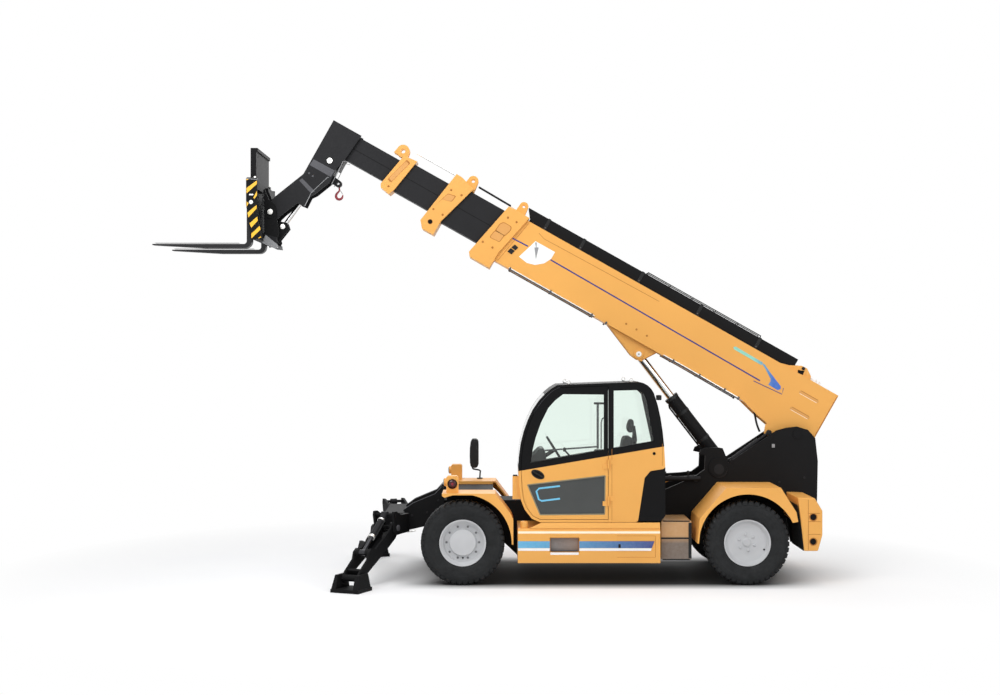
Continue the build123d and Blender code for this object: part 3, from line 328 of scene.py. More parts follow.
def finish(obj, material, body, slot, bevel=0.0, segments=2, angle=35.0):
    """Rounds a mesh's edges, levels its shading, gives it its material and puts it on its body."""
    if bevel:
        rounding = obj.modifiers.new("rounding", "BEVEL")
        rounding.width = bevel
        rounding.segments = segments
        rounding.limit_method = "ANGLE"
        rounding.angle_limit = math.radians(angle)
        rounding.miter_outer = "MITER_ARC"
        apply_modifiers(obj)
    smooth(obj, angle)
    level = obj.modifiers.new("level", "WEIGHTED_NORMAL")
    level.keep_sharp = True
    level.weight = 100
    apply_modifiers(obj)
    if material:
        obj.data.materials.clear()
        obj.data.materials.append(MATERIALS[material])
    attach(obj, body)
    return obj


def piece(name, bm, *looks, mesh_name=None, **options):
    """A finished piece from a bmesh, which is freed."""
    mesh = bpy.data.meshes.new(mesh_name or name)
    bm.to_mesh(mesh)
    bm.free()
    return finish(put(bpy.data.objects.new(name, mesh)), *looks, **options)


def softened(node, material, width=0.004, segments=2, angle=32.0):
    """A copy of a CAD node with its edges rounded, which replaces the node."""
    obj = put(frame["nodes"][node].copy())
    obj.data = obj.data.copy()
    obj.name = node + "_shape"
    obj.parent = None
    obj.matrix_world = Matrix.Identity(4)
    bm = bmesh.new()
    bm.from_mesh(obj.data)
    bmesh.ops.remove_doubles(bm, verts=bm.verts, dist=2e-5)
    bmesh.ops.dissolve_limit(bm, angle_limit=math.radians(0.4), verts=bm.verts, edges=bm.edges)
    bm.to_mesh(obj.data)
    bm.free()
    finish(obj, material, BODY_OF[node], SLOT_OF[node], width, segments, angle)
    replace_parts(obj, node)
    return obj


def dress(node, material):
    """A CAD node kept as it is, with a finished material."""
    source = frame["nodes"][node]
    source.data.materials.clear()
    source.data.materials.append(MATERIALS[material])


def prism(name, outline, y0, y1, material, body, slot, place=None, bevel=0.0, segments=2):
    """A plate from an outline of (x, z) points in metres from the rear axle, between two values of y."""
    place = place or (lambda p, y: at(p[0], y, p[1]))
    bm = bmesh.new()
    low = [bm.verts.new(place(p, y0)) for p in outline]
    high = [bm.verts.new(place(p, y1)) for p in outline]
    bm.faces.new(low)
    bm.faces.new(list(reversed(high)))
    count = len(outline)
    for n in range(count):
        bm.faces.new((low[n], high[n], high[(n + 1) % count], low[(n + 1) % count]))
    bmesh.ops.recalc_face_normals(bm, faces=bm.faces)
    return piece(name, bm, material, body, slot, bevel, segments)


def boomed(p, y):
    return on_boom(p[0], y, p[1])


def ribbon(points, width):
    """The outline of a strip of one width along a run of points."""
    left, right = [], []
    for n, (x, z) in enumerate(points):
        before, after = points[max(n - 1, 0)], points[min(n + 1, len(points) - 1)]
        run = Vector((after[0] - before[0], after[1] - before[1])).normalized() * width / 2
        left.append((x - run.y, z + run.x))
        right.append((x + run.y, z - run.x))
    return left + right[::-1]


def rounded(points, radius, steps=5):
    """An outline with its corners rounded."""
    out = []
    for n, corner in enumerate(points):
        c = Vector(corner)
        a = Vector(points[n - 1]) - c
        b = Vector(points[(n + 1) % len(points)]) - c
        size = min(radius, a.length * 0.45, b.length * 0.45)
        a, b = c + a.normalized() * size, c + b.normalized() * size
        for k in range(steps + 1):
            t = k / steps
            out.append(tuple(a * (1 - t) ** 2 + c * 2 * t * (1 - t) + b * t ** 2))
    return out


def ellipse(x, z, a, b, turn=0.0, steps=28):
    c, s = math.cos(turn), math.sin(turn)
    angles = [2 * math.pi * n / steps for n in range(steps)]
    return [(x + a * math.cos(t) * c - b * math.sin(t) * s,
             z + a * math.cos(t) * s + b * math.sin(t) * c) for t in angles]


def swept(name, points, depth, resolution, smooth_path, cyclic=False, radii=None):
    """An object swept along points, round in section; radii scale the depth point by point."""
    data = bpy.data.curves.new(name, "CURVE")
    data.dimensions = "3D"
    data.bevel_depth = depth
    data.bevel_resolution = resolution
    data.use_fill_caps = True
    spline = data.splines.new("NURBS" if smooth_path else "POLY")
    spline.points.add(len(points) - 1)
    for n, (point, value) in enumerate(zip(spline.points, points)):
        point.co = (*value, 1)
        if radii:
            point.radius = radii[n]
    spline.use_cyclic_u = cyclic
    if smooth_path:
        spline.order_u = 3
        spline.use_endpoint_u = not cyclic
        spline.resolution_u = 8
    curve = put(bpy.data.objects.new(name, data))
    graph = bpy.context.evaluated_depsgraph_get()
    mesh = bpy.data.meshes.new_from_object(curve.evaluated_get(graph))
    bpy.data.objects.remove(curve)
    return put(bpy.data.objects.new(name, mesh))


def tube(name, points, radius, material, body, slot, smooth_path=False, cyclic=False):
    """A pipe through points in the model's frame."""
    return finish(swept(name, points, radius, 3, smooth_path, cyclic), material, body, slot, angle=50)


def turned_mesh(profile, centre, out, segments=96, bands=()):
    """A bmesh of a profile of (out, radius) points turned about an axis; bands set a face's material by radius."""
    out = Vector(out).normalized()
    side = out.orthogonal().normalized()
    up = out.cross(side)
    bm = bmesh.new()
    rings = []
    for u, r in profile:
        if r < 1e-6:
            rings.append([bm.verts.new(Vector(centre) + out * u)] * segments)
        else:
            rings.append([
                bm.verts.new(Vector(centre) + out * u + (side * math.cos(t) + up * math.sin(t)) * r)
                for t in [2 * math.pi * n / segments for n in range(segments)]
            ])
    for (a, b), (p, q) in zip(zip(rings, rings[1:]), zip(profile, profile[1:])):
        for n in range(segments):
            m = (n + 1) % segments
            face = bm.faces.new(list(dict.fromkeys((a[n], b[n], b[m], a[m]))))
            for low, high, index in bands:
                if low <= (p[1] + q[1]) / 2 <= high and (p[0] + q[0]) / 2 > 0:
                    face.material_index = index
    bmesh.ops.recalc_face_normals(bm, faces=bm.faces)
    return bm


def turned(name, profile, centre, out, material, body, slot, segments=48, angle=35.0):
    return piece(name, turned_mesh(profile, centre, out, segments), material, body, slot, angle=angle)


def cap(name, centre, out, radius, height, material, body, slot, dome=0.003):
    """A round pin end or button with a chamfered edge."""
    profile = [(-0.004, 0.0), (-0.004, radius), (height - dome, radius), (height, radius - dome),
               (height + dome * 0.4, radius * 0.5)]
    return turned(name, profile + [(height + dome * 0.5, 0.0)], centre, out, material, body, slot, 40)


# --- wheels -----------------------------------------------------------------------------------------------
LUGS = 42
TYRE = [
    (-0.130, 0.2875), (0.130, 0.2875), (0.142, 0.300), (0.160, 0.322), (0.166, 0.330), (0.168, 0.338),
    (0.1795, 0.372),
    (0.1815, 0.374), (0.1855, 0.390), (0.1895, 0.418), (0.1915, 0.420), (0.1925, 0.440), (0.190, 0.470),
    (0.184, 0.492),
    (0.172, 0.508), (0.150, 0.517), (0.0, 0.519),
]
RIM_FRONT = [
    (0.074, 0.0), (0.074, 0.150), (0.040, 0.170), (0.040, 0.262), (-0.06, 0.268), (-0.135, 0.272), (-0.150, 0.286),
    (-0.150, 0.298), (-0.138, 0.298), (-0.13, 0.287), (0.13, 0.287), (0.138, 0.298), (0.148, 0.298), (0.150, 0.292),
    (0.146, 0.282), (0.122, 0.268), (0.106, 0.252), (0.096, 0.248), (0.062, 0.243), (0.055, 0.236), (0.055, 0.184),
    (0.060, 0.176), (0.088, 0.169), (0.095, 0.162), (0.096, 0.150), (0.096, 0.0),
]
RIM_REAR = RIM_FRONT[:15] + [
    (0.120, 0.266), (0.112, 0.258), (0.108, 0.252), (0.098, 0.248), (0.094, 0.240), (0.092, 0.222), (0.086, 0.200),
    (0.080, 0.170), (0.078, 0.150), (0.078, 0.062), (0.084, 0.052), (0.092, 0.044), (0.094, 0.030), (0.095, 0.0),
]


def lug_block(bm, centre, side, angle, width, skew, mirror):
    """One tread block: a profile across half the tyre's width, carried round by its width."""
    profile = [(0.010, 0.512), (0.010, 0.5355), (0.140, 0.5355), (0.170, 0.530), (0.187, 0.512), (0.1915, 0.488),
               (0.180, 0.484)]
    rows = []
    for edge in (-0.5, -0.42, 0.42, 0.5):
        row = []
        for u, r in profile:
            taper = 1.0 if abs(edge) < 0.45 or r < 0.513 else 0.994
            t = angle + edge * width + skew * (1 - u / 0.19)
            row.append(bm.verts.new(centre + Vector((math.cos(t) * r * taper, side * u * mirror,
                                                     math.sin(t) * r * taper))))
        rows.append(row)
    for a, b in zip(rows, rows[1:]):
        for n in range(len(profile) - 1):
            bm.faces.new((a[n], a[n + 1], b[n + 1], b[n]))
    bm.faces.new(rows[0][::-1])
    bm.faces.new(rows[-1])


def wheel(end, x, side_name, side):
    name = f"{end}_{side_name}"
    body = "wheel_" + name
    centre = at(x, side * 1.0, AXLE_Z)
    out = Vector((0, side, 0))
    bm = turned_mesh(TYRE + [(-u, r) for u, r in TYRE[-2::-1]], centre, out, 128)
    pitch = 2 * math.pi / LUGS
    for n in range(LUGS):
        lug_block(bm, centre, side, n * pitch, pitch * 0.70, pitch * 0.55, 1)
        lug_block(bm, centre, side, (n + 0.5) * pitch, pitch * 0.70, pitch * 0.55, -1)
    bmesh.ops.recalc_face_normals(bm, faces=bm.faces)
    tyre = piece("tread_tyre_" + name, bm, "rubber", body, "tyre_rubber", angle=28, mesh_name="tyre_" + name)
    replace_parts(tyre, "tyre_" + name)
    front = end == "front"
    # the rim is darker in its recess and lighter on its outer flange: painted shade and painted highlight
    bm = turned_mesh(RIM_FRONT if front else RIM_REAR, centre, out, 96,
                     [(0.172, 0.249, 1), (0.262, 0.299, 2)] if front else [(0.238, 0.250, 1), (0.260, 0.299, 2)])
    rim = piece("disc_rim_" + name, bm, None, body, "rim_paint", angle=24, mesh_name="rim_" + name)
    rim.data.materials.clear()
    for material in ("rim", "rim_low", "rim_edge"):
        rim.data.materials.append(MATERIALS[material])
    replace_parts(rim, "rim_" + name)
    spin = lambda r, t, u: centre + Vector((math.cos(t) * r, side * u, math.sin(t) * r))
    if front:
        for n in range(10):
            t = math.radians(-72 + 36 * n)
            seat = [(-0.002, 0.0), (-0.002, 0.016), (0.003, 0.016), (0.0045, 0.013), (0.001, 0.0085), (-0.001, 0.0)]
            turned(f"stud_seat_{name}_{n}", seat, spin(0.208, t, 0.0555), out, "rim_low", body, "rim_paint", 20)
            cap(f"stud_{name}_{n}", spin(0.208, t, 0.0560), out, 0.007, 0.002, "band", body, "rim_paint", 0.001)
        valve = spin(0.200, math.radians(-90), 0.055)
    else:
        for n in range(6):
            t = math.radians(20 + 60 * n)
            dome = [(-0.004, 0.0), (-0.004, 0.021), (0.004, 0.020), (0.010, 0.015), (0.014, 0.008), (0.015, 0.0)]
            turned(f"bolt_{name}_{n}", dome, spin(0.105, t, 0.0785), out, "rim", body, "rim_paint", 24)
        valve = spin(0.236, math.radians(180 + 22 if side > 0 else -22), 0.094)
    cap("valve_" + name, valve, out, 0.011, 0.012, "liner", body, "tyre_rubber")


for end, x in AXLES:
    for side_name, side in SIDES:
        wheel(end, x, side_name, side)


# --- CAD nodes carried over -------------------------------------------------------------------------------
SPECIAL = {"seat_pads", "door_glass", "engine_block", "hook", "mirror"}
PAINT_OF = {"tanks": "tank", "boom_tower": "dark", "chassis_frame": "dark", "axles": "dark", "carriage": "dark",
            "stabiliser_frame": "dark",
            "leg_left": "dark", "leg_right": "dark", "foot_left": "dark", "foot_right": "dark",
            "cab_frame": "frame", "door_frame": "frame",
            "cab_locker": "frame", "hose_tray": "dark", "lift_barrel": "dark"}
WIDTHS = {"cab_body": 0.010, "cab_frame": 0.012, "door_panel": 0.005, "door_frame": 0.006, "counterweight": 0.014,
          "side_boxes": 0.010, "engine_hood": 0.016, "front_fenders": 0.006, "rear_fenders": 0.006,
          "cab_locker": 0.03,
          "boom_main": 0.006, "carriage": 0.003, "head_lamps": 0.008, "tanks": 0.012}
for node in BODY_OF:
    if node in SPECIAL or node.startswith(("tyre", "rim")):
        continue
    if SLOT_OF[node] in ("glass", "chrome_rod"):
        dress(node, "leg_rod" if node.startswith("leg_rod") else SLOT_MATERIAL[SLOT_OF[node]])
    else:
        softened(node, PAINT_OF.get(node, SLOT_MATERIAL[SLOT_OF[node]]), WIDTHS.get(node, 0.004))
dress("engine_block", "engine")


def islands(node):
    """A CAD node's separate solids, each as a new bmesh, sorted by their lowest point."""
    bm = bmesh.new()
    bm.from_mesh(frame["nodes"][node].data)
    bmesh.ops.remove_doubles(bm, verts=bm.verts, dist=2e-5)
    left = set(bm.verts)
    found = []
    while left:
        todo = [left.pop()]
        group = set(todo)
        while todo:
            for edge in todo.pop().link_edges:
                for vert in edge.verts:
                    if vert in left:
                        left.discard(vert)
                        group.add(vert)
                        todo.append(vert)
        found.append(sorted(group, key=lambda v: v.index))
    pieces = []
    for group in found:
        keep = set(group)
        part = bmesh.new()
        table = {v: part.verts.new(v.co) for v in group}
        for face in bm.faces:
            if face.verts[0] in keep:
                part.faces.new([table[v] for v in face.verts])
        pieces.append(part)
    bm.free()
    pieces.sort(key=lambda part: min(v.co.z for v in part.verts))
    return pieces


for n, part in enumerate(islands("door_glass")):
    pane = piece(f"door_pane_{n}", part, ("dark_glass", "glass")[n], "door", "glass")
    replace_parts(pane, "door_glass")


# --- seat: three cushions swelled by cloth ----------------------------------------------------------------
def cushions():
    scene = bpy.context.scene
    pads = []
    for n, part in enumerate(islands("seat_pads")):
        name = ("seat_cushion", "seat_back", "head_rest")[n]
        low = Vector([min(v.co[k] for v in part.verts) for k in range(3)])
        high = Vector([max(v.co[k] for v in part.verts) for k in range(3)])
        middle = (low + high) / 2
        for v in part.verts:
            v.co = middle + (v.co - middle) * Vector([max(0.5,
                 1 - 0.024 / max(high[k] - low[k], 0.05)) for k in range(3)])
        mesh = bpy.data.meshes.new(name)
        part.to_mesh(mesh)
        part.free()
        pad = put(bpy.data.objects.new(name, mesh))
        grid = pad.modifiers.new("grid", "REMESH")
        grid.mode = "VOXEL"
        grid.voxel_size = 0.012
        apply_modifiers(pad)
        start = [v.co.copy() for v in pad.data.vertices]
        cloth = pad.modifiers.new("swell", "CLOTH")
        cloth.settings.quality = 5
        cloth.settings.use_pressure = True
        cloth.settings.uniform_pressure_force = 4.0
        cloth.settings.effector_weights.gravity = 0.0
        cloth.settings.tension_stiffness = 12
        cloth.settings.compression_stiffness = 12
        cloth.settings.bending_stiffness = 0.6
        cloth.point_cache.frame_start = 1
        cloth.point_cache.frame_end = 20
        for frame_number in range(1, 21):
            scene.frame_set(frame_number)
        apply_modifiers(pad)
        scene.frame_set(1)
        for v, was in zip(pad.data.vertices, start):
            move = v.co - was
            if move.length > 0.016:
                v.co = was + move.normalized() * 0.016
        ease = pad.modifiers.new("ease", "SMOOTH")
        ease.iterations = 4
        divide = pad.modifiers.new("divide", "SUBSURF")
        divide.levels = 1
        divide.render_levels = 1
        apply_modifiers(pad)
        pads.append((name, pad, low, high))
        for polygon in pad.data.polygons:
            polygon.use_smooth = True
        pad.data.materials.append(MATERIALS["fabric"])
        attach(pad, "root")
        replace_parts(pad, "seat_pads")
    for name, pad, low, high in pads:
        if name == "seat_cushion":
            point, normal = (low + high) / 2 + Vector((0, 0, 0.01)), Vector((-0.05, 0, 1))
        else:
            point, normal = (low + high) / 2, Vector((1, 0, 0.24)).normalized()
        bm = bmesh.new()
        bm.from_mesh(pad.data)
        cut = bmesh.ops.bisect_plane(bm, geom=bm.verts[:] + bm.edges[:] + bm.faces[:], plane_co=point,
                                     plane_no=normal)
        edges = [g for g in cut["geom_cut"] if isinstance(g, bmesh.types.BMEdge)]
        links = {}
        for edge in edges:
            one, two = edge.verts
            links.setdefault(one, []).append(two)
            links.setdefault(two, []).append(one)
        if not links:
            bm.free()
            continue
        here = next(iter(links))
        path, last = [here], None
        while True:
            onward = [v for v in links[path[-1]] if v is not last and (v is not path[0] or len(path) > 3)]
            if not onward or onward[0] is path[0]:
                break
            last = path[-1]
            path.append(onward[0])
            if len(path) > len(links):
                break
        points = [v.co.copy() for v in path[::2]]
        bm.free()
        if len(points) > 8:
            tube(f"{name}_piping_0", points, 0.0035, "trim", "root", "seat_fabric", smooth_path=True, cyclic=True)


cushions()


# --- films, seams and small fittings ----------------------------------------------------------------------
def both(name, outline, y0, y1, material, body, slot, place=None, bevel=0.0):
    """The same plate on the left side and mirrored on the right."""
    for side_name, side in SIDES:
        prism(f"{name}_{side_name}", outline, side * y0, side * y1, material, body, slot, place, bevel)


def films(prefix, face, body, slot, place, rows):
    """Thin films on a side face, each a hair prouder than the one before it."""
    for n, (name, outline, material) in enumerate(rows):
        both(f"{prefix}_{name}", outline, face - 0.002, face + 0.0008 + n * 0.0002, material, body, slot, place)


def dots(prefix, face, body, slot, place, radius, material, points, height=0.005):
    for n, (x, z) in enumerate(points):
        for side_name, side in SIDES:
            centre = place((x, z), side * face)
            cap(f"{prefix}_{n}_{side_name}", centre, (0, side, 0), radius, height, material, body, slot, 0.0015)


def flat(p, y):
    return at(p[0], y, p[1])


def loop(name, centre, u, v, radius, wire, material, body, slot):
    """A round ring of wire."""
    u, v = Vector(u), Vector(v)
    angles = [2 * math.pi * n / 24 for n in range(24)]
    points = [Vector(centre) + (u * math.cos(t) + v * math.sin(t)) * radius for t in angles]
    return tube(name, points, wire, material, body, slot, cyclic=True)


def brick(name, low, high, material, body, slot, bevel=0.006, turn=0.0):
    """A box with rounded edges, turned about its own middle in the x-z plane."""
    cx, cz = (low[0] + high[0]) / 2, (low[2] + high[2]) / 2
    a, b = (high[0] - low[0]) / 2, (high[2] - low[2]) / 2
    c, s = math.cos(turn), math.sin(turn)
    corners = [(cx + u * c - w * s, cz + u * s + w * c) for u, w in ((-a, -b), (a, -b), (a, b), (-a, b))]
    return prism(name, corners, low[1], high[1], material, body, slot, None, bevel)


def bolt(name, centre, out, radius, height, material, body, slot):
    """A hexagon head on a washer."""
    washer = [(-0.002, 0.0), (-0.002, radius * 1.45), (0.002, radius * 1.45), (0.003, radius * 1.3), (0.003, 0.0)]
    turned(name + "_washer", washer, centre, out, material, body, slot, 20)
    head = [(0.002, 0.0), (0.002, radius), (height - 0.002, radius), (height, radius * 0.85), (height, 0.0)]
    turned(name, head, centre, out, material, body, slot, 6, 20)


# main boom; strip, chevron and outline follow the picture's artwork, see the open faults in report.md
ARROW = [(4.282, 0.517), (4.262, 0.529), (4.233, 0.470), (4.207, 0.482), (4.160, 0.322), (4.258, 0.455),
         (4.240, 0.462)]
films("boom", 0.195, "boom", "orange_paint", boomed, [
    ("groove", ribbon([(4.298, 0.651), (4.200, 0.618), (3.960, 0.622), (2.453, 0.645)], 0.006), "line"),
    ("front_line", ribbon([(4.571, 0.418), (4.338, 0.426)], 0.018), "blue"),
    ("long_line", ribbon([(3.990, 0.417), (0.762, 0.383)], 0.018), "blue"),
    ("gauge", [(4.285, 0.535), (4.377, 0.246), (4.243, 0.225), (4.136, 0.255), (4.040, 0.334), (3.989, 0.430),
               (3.987, 0.536)],
     "white"),
    ("arrow", ARROW, "grey"),
    ("strip", [(1.291, 0.601), (1.268, 0.621), (0.846, 0.613), (0.845, 0.573), (1.272, 0.578)], "teal"),
    ("chevron", [(0.859, 0.599), (0.814, 0.604), (0.691, 0.543), (0.484, 0.455), (0.466, 0.423), (0.494, 0.387),
                 (0.641, 0.393), (0.635, 0.444), (0.653, 0.476), (0.771, 0.552)], "teal"),
    ("outline", ribbon([(0.836, 0.339), (0.416, 0.370), (0.441, 0.451)], 0.010), "blue"),
    ("rear_edge", ribbon([(-0.243, 0.705), (-0.240, 0.104)], 0.014), "line"),
    ("front_seam", ribbon([(4.480, 0.700), (4.600, 0.060)], 0.005), "line"),
])
dots("boom_dimple", 0.195, "boom", "orange_paint", boomed, 0.014, "line",
     [(2.689, 0.168), (2.533, 0.170), (2.371, 0.165)], 0.002)
both("boom_bracket", [(4.545, 0.231), (4.479, 0.224), (4.462, 0.286), (4.528, 0.292)], 0.193, 0.203, *BOOM_BLACK,
     boomed, 0.002)
both("boom_bracket_top", [(4.525, 0.303), (4.459, 0.297), (4.444, 0.349), (4.503, 0.360)], 0.193, 0.203,
     *BOOM_BLACK, boomed, 0.002)
# tail slots: floors in shaded orange, a dark lip along the top and a pale lip along the bottom, as painted shade and
# painted highlight
a0, a1 = -0.06, 0.235
for n, b in enumerate((0.516, 0.268)):
    both(f"slot_floor_{n}", rounded([(a0, b - 0.020), (a1, b - 0.020), (a1, b + 0.020), (a0, b + 0.020)], 0.018),
         0.1725, 0.1956, "shaded",
         "boom", "orange_paint", boomed)
    both(f"slot_lip_{n}", ribbon([(a0 + 0.018, b + 0.020), (a1 - 0.018, b + 0.020)], 0.008), 0.193, 0.1965, "line",
         "boom",
         "orange_paint", boomed)
    both(f"slot_edge_{n}", ribbon([(a0 + 0.018, b - 0.020), (a1 - 0.018, b - 0.020)], 0.006), 0.193, 0.1965, "pale",
         "boom",
         "orange_paint", boomed)
both("lift_pin_plate", ellipse(*LIFT_EYE, 0.062, 0.062), 0.124, 0.142, "orange", "boom", "orange_paint", boomed,
     0.003)
dots("lift_pin", 0.1415, "boom", "chrome_rod", boomed, 0.037, "pin", [LIFT_EYE], 0.008)
dots("lift_pin_eye", 0.149, "boom", "chrome_rod", boomed, 0.010, "band", [LIFT_EYE], 0.003)
both("lift_bracket_weld", ribbon([(2.150, 0.020), (2.262, -0.150)], 0.010), 0.120, 0.1275, "line", "boom",
     "orange_paint", boomed)
for side_name, side in SIDES:
    path = lambda points, y: [on_boom(a, side * y, b) for a, b in points]
    for n, points in enumerate((((4.420, 0.052), (3.111, 0.052)), ((2.054, 0.050), (1.736, 0.054), (0.889, 0.044)))):
        tube(f"under_pipe_{n}_{side_name}", path(points, 0.2045), 0.0085, "pin", "boom", "chrome_rod")
        low = [(a, b - 0.017) for a, b in points]
        tube(f"under_hose_{n}_{side_name}", path(low, 0.2015), 0.0075, "band", "boom", "black_paint")
    for n, (a, b) in enumerate(((4.40, 0.045), (3.78, 0.045), (3.15, 0.045), (2.93, 0.043), (1.90, 0.045),
                                (1.50, 0.045), (1.115, 0.045), (0.90, 0.036))):
        outline = rounded([(a - 0.012, b - 0.022), (a + 0.012, b - 0.022), (a + 0.012, b + 0.022),
                           (a - 0.012, b + 0.022)], 0.006)
        prism(f"pipe_clip_{n}_{side_name}", outline, side * 0.193, side * 0.2155, "band", "boom", "black_paint",
              boomed, 0.002)
for side_name, side in SIDES:
    ends = [on_boom(a, side * 0.100, b) for a, b in ((1.030, 0.888), (1.035, 0.917), (2.760, 0.917), (2.765, 0.888))]
    tube(f"tray_rail_{side_name}", ends, 0.009, *BOOM_TRIM)
    for n in range(4):
        a = 1.38 + 0.345 * n
        tube(f"tray_post_{n}_{side_name}", [on_boom(a, side * 0.100, 0.886), on_boom(a, side * 0.100, 0.917)],
             0.006, *BOOM_TRIM)
for n, a in enumerate((1.0, 1.9, 2.8, 3.7, 4.24)):
    prism(f"tray_strap_{n}", [(a, 0.724), (a + 0.04, 0.724), (a + 0.04, 0.895), (a, 0.895)], -0.114, 0.114,
          *BOOM_TRIM, boomed, 0.003)
    dots(f"tray_bolt_{n}", 0.114, "boom", "black_paint", boomed, 0.009, "band", [(a + 0.02, 0.76)], 0.005)

# fittings on the boom's tail
both("tail_bracket", [(0.66, 0.720), (0.514, 0.758), (0.366, 0.835), (0.286, 0.839), (0.186, 0.772),
                      (0.174, 0.720)], 0.130,
     0.150, "orange", "boom", "orange_paint", boomed, 0.004)
both("tail_bracket_hole", [(0.383, 0.764), (0.301, 0.789), (0.290, 0.734), (0.368, 0.724)], 0.149, 0.1512, "deep",
     "boom",
     "black_paint", boomed)
tube("tail_bar", [on_boom(0.329, -0.13, 0.812), on_boom(0.329, 0.13, 0.812)], 0.018, *BOOM_BLACK)
dots("tail_knob", 0.150, "boom", "black_paint", boomed, 0.022, "black", [(0.329, 0.812)], 0.014)
for n, (a, b) in enumerate(((0.161, 0.751), (0.097, 0.760), (0.041, 0.757))):
    both(f"tail_ear_{n}", rounded([(a - 0.020, 0.720), (a - 0.014, b + 0.010), (a + 0.014, b + 0.010),
                                   (a + 0.020, 0.720)], 0.012),
         0.120, 0.130, "white", "boom", "orange_paint", boomed, 0.002)

# collars and sections
WINDOWS = {
    "collar_1": (0.235, [
        [(4.816, 0.401), (4.804, 0.504), (4.771, 0.540), (4.665, 0.538), (4.649, 0.494), (4.682, 0.397)],
        [(4.838, 0.283), (4.822, 0.389), (4.689, 0.393), (4.702, 0.290)],
    ], [(4.894, 0.181), (4.743, 0.178), (4.759, 0.626), (4.629, 0.629)]),
    "collar_2": (0.205, [
        [(5.670, 0.326), (5.614, 0.507), (5.512, 0.529), (5.525, 0.442), (5.640, 0.413)],
        ellipse(5.638, 0.071, 0.030, 0.030),
    ], [(5.683, 0.239), (5.539, 0.233), (5.600, 0.576), (5.446, 0.583)]),
    "collar_3": (0.175, [ribbon([(6.378, 0.299), (6.291, 0.612)], 0.058)], [(6.358, 0.211)]),
}
RIM = 1.14
for collar, (face, windows, bolts) in WINDOWS.items():
    body = BODY_OF[collar]
    for n, outline in enumerate(windows):
        outline = rounded(outline, 0.02) if len(outline) < 12 else outline
        # windows filled darker than the collar and ringed in the groove colour: painted shade; the low round hole is
        # deep black, painted shade too
        fill = "deep" if outline[0][1] < 0.13 else "shaded"
        both(f"{collar}_window_{n}", outline, face - 0.002, face + 0.0012, fill, body, "orange_paint", boomed)
        middle = (sum(p[0] for p in outline) / len(outline), sum(p[1] for p in outline) / len(outline))
        rim = [(middle[0] + (p[0] - middle[0]) * RIM, middle[1] + (p[1] - middle[1]) * RIM) for p in outline]
        both(f"{collar}_window_rim_{n}", rim, face - 0.002, face + 0.0007, "line", body, "orange_paint", boomed)
    for n, (a, b) in enumerate(bolts):
        for side_name, side in SIDES:
            bolt(f"{collar}_bolt_{n}_{side_name}", on_boom(a, side * face, b), (0, side, 0), 0.010, 0.009, "line",
                 body, "orange_paint")
for node, half, b, a0, a1 in (("section_2", 0.165, 0.42, 1.0, 5.50), ("section_3", 0.140, 0.428, 1.4, 6.26),
                              ("boom_head", 0.115, 0.42, 1.8, 7.03)):
    both(f"{node}_weld", ribbon([(a0, b), (a1, b)], 0.008), half - 0.002, half + 0.0003, "deep", BODY_OF[node],
         "black_paint", boomed)
tube("extension_rod_3", [on_boom(6.258, 0, 0.794), on_boom(5.665, 0, 0.793)], 0.009, "pin", "section_3", "chrome_rod")
tube("extension_barrel_2", [on_boom(5.311, 0, 0.807), on_boom(4.810, 0, 0.797)], 0.014, "black", "section_2",
     "black_paint")
tube("extension_rod_2", [on_boom(4.815, 0, 0.797), on_boom(4.716, 0, 0.788)], 0.009, "pin", "section_2", "chrome_rod")

# boom head
films("head", 0.170, "head", "black_paint", boomed, [
    ("band", [(7.406, 0.035), (7.084, 0.041), (7.089, -0.059), (7.415, -0.058)], "band"),
    ("lower_band", [(7.415, -0.261), (7.182, -0.331), (7.217, -0.378), (7.434, -0.306)], "band"),
])
# light grey ribbons along the head's edges: painted highlight
both("head_edge_highlight_top", ribbon([(6.990, 0.228), (7.050, 0.207), (7.040, 0.001), (7.033, -0.142)], 0.006), 0.150,
     0.172, "grey", "head",
     "black_paint", boomed)
both("head_edge_highlight_low", ribbon([(7.105, -0.080), (7.125, -0.080), (7.214, -0.372), (7.204, -0.570)], 0.007), 0.150,
     0.172, "grey", "head",
     "black_paint", boomed)
dots("head_pin", 0.170, "head", "chrome_rod", boomed, 0.038, "pin", [(7.209, 0.123)], 0.012)
dots("head_bolt", 0.170, "head", "black_paint", boomed, 0.014, "band", [(7.367, -0.159), (7.305, -0.167)], 0.006)
dots("carriage_pin", 0.236, "carriage", "chrome_rod", flat, 0.037, "pin", [(6.217, 4.835)], 0.006)

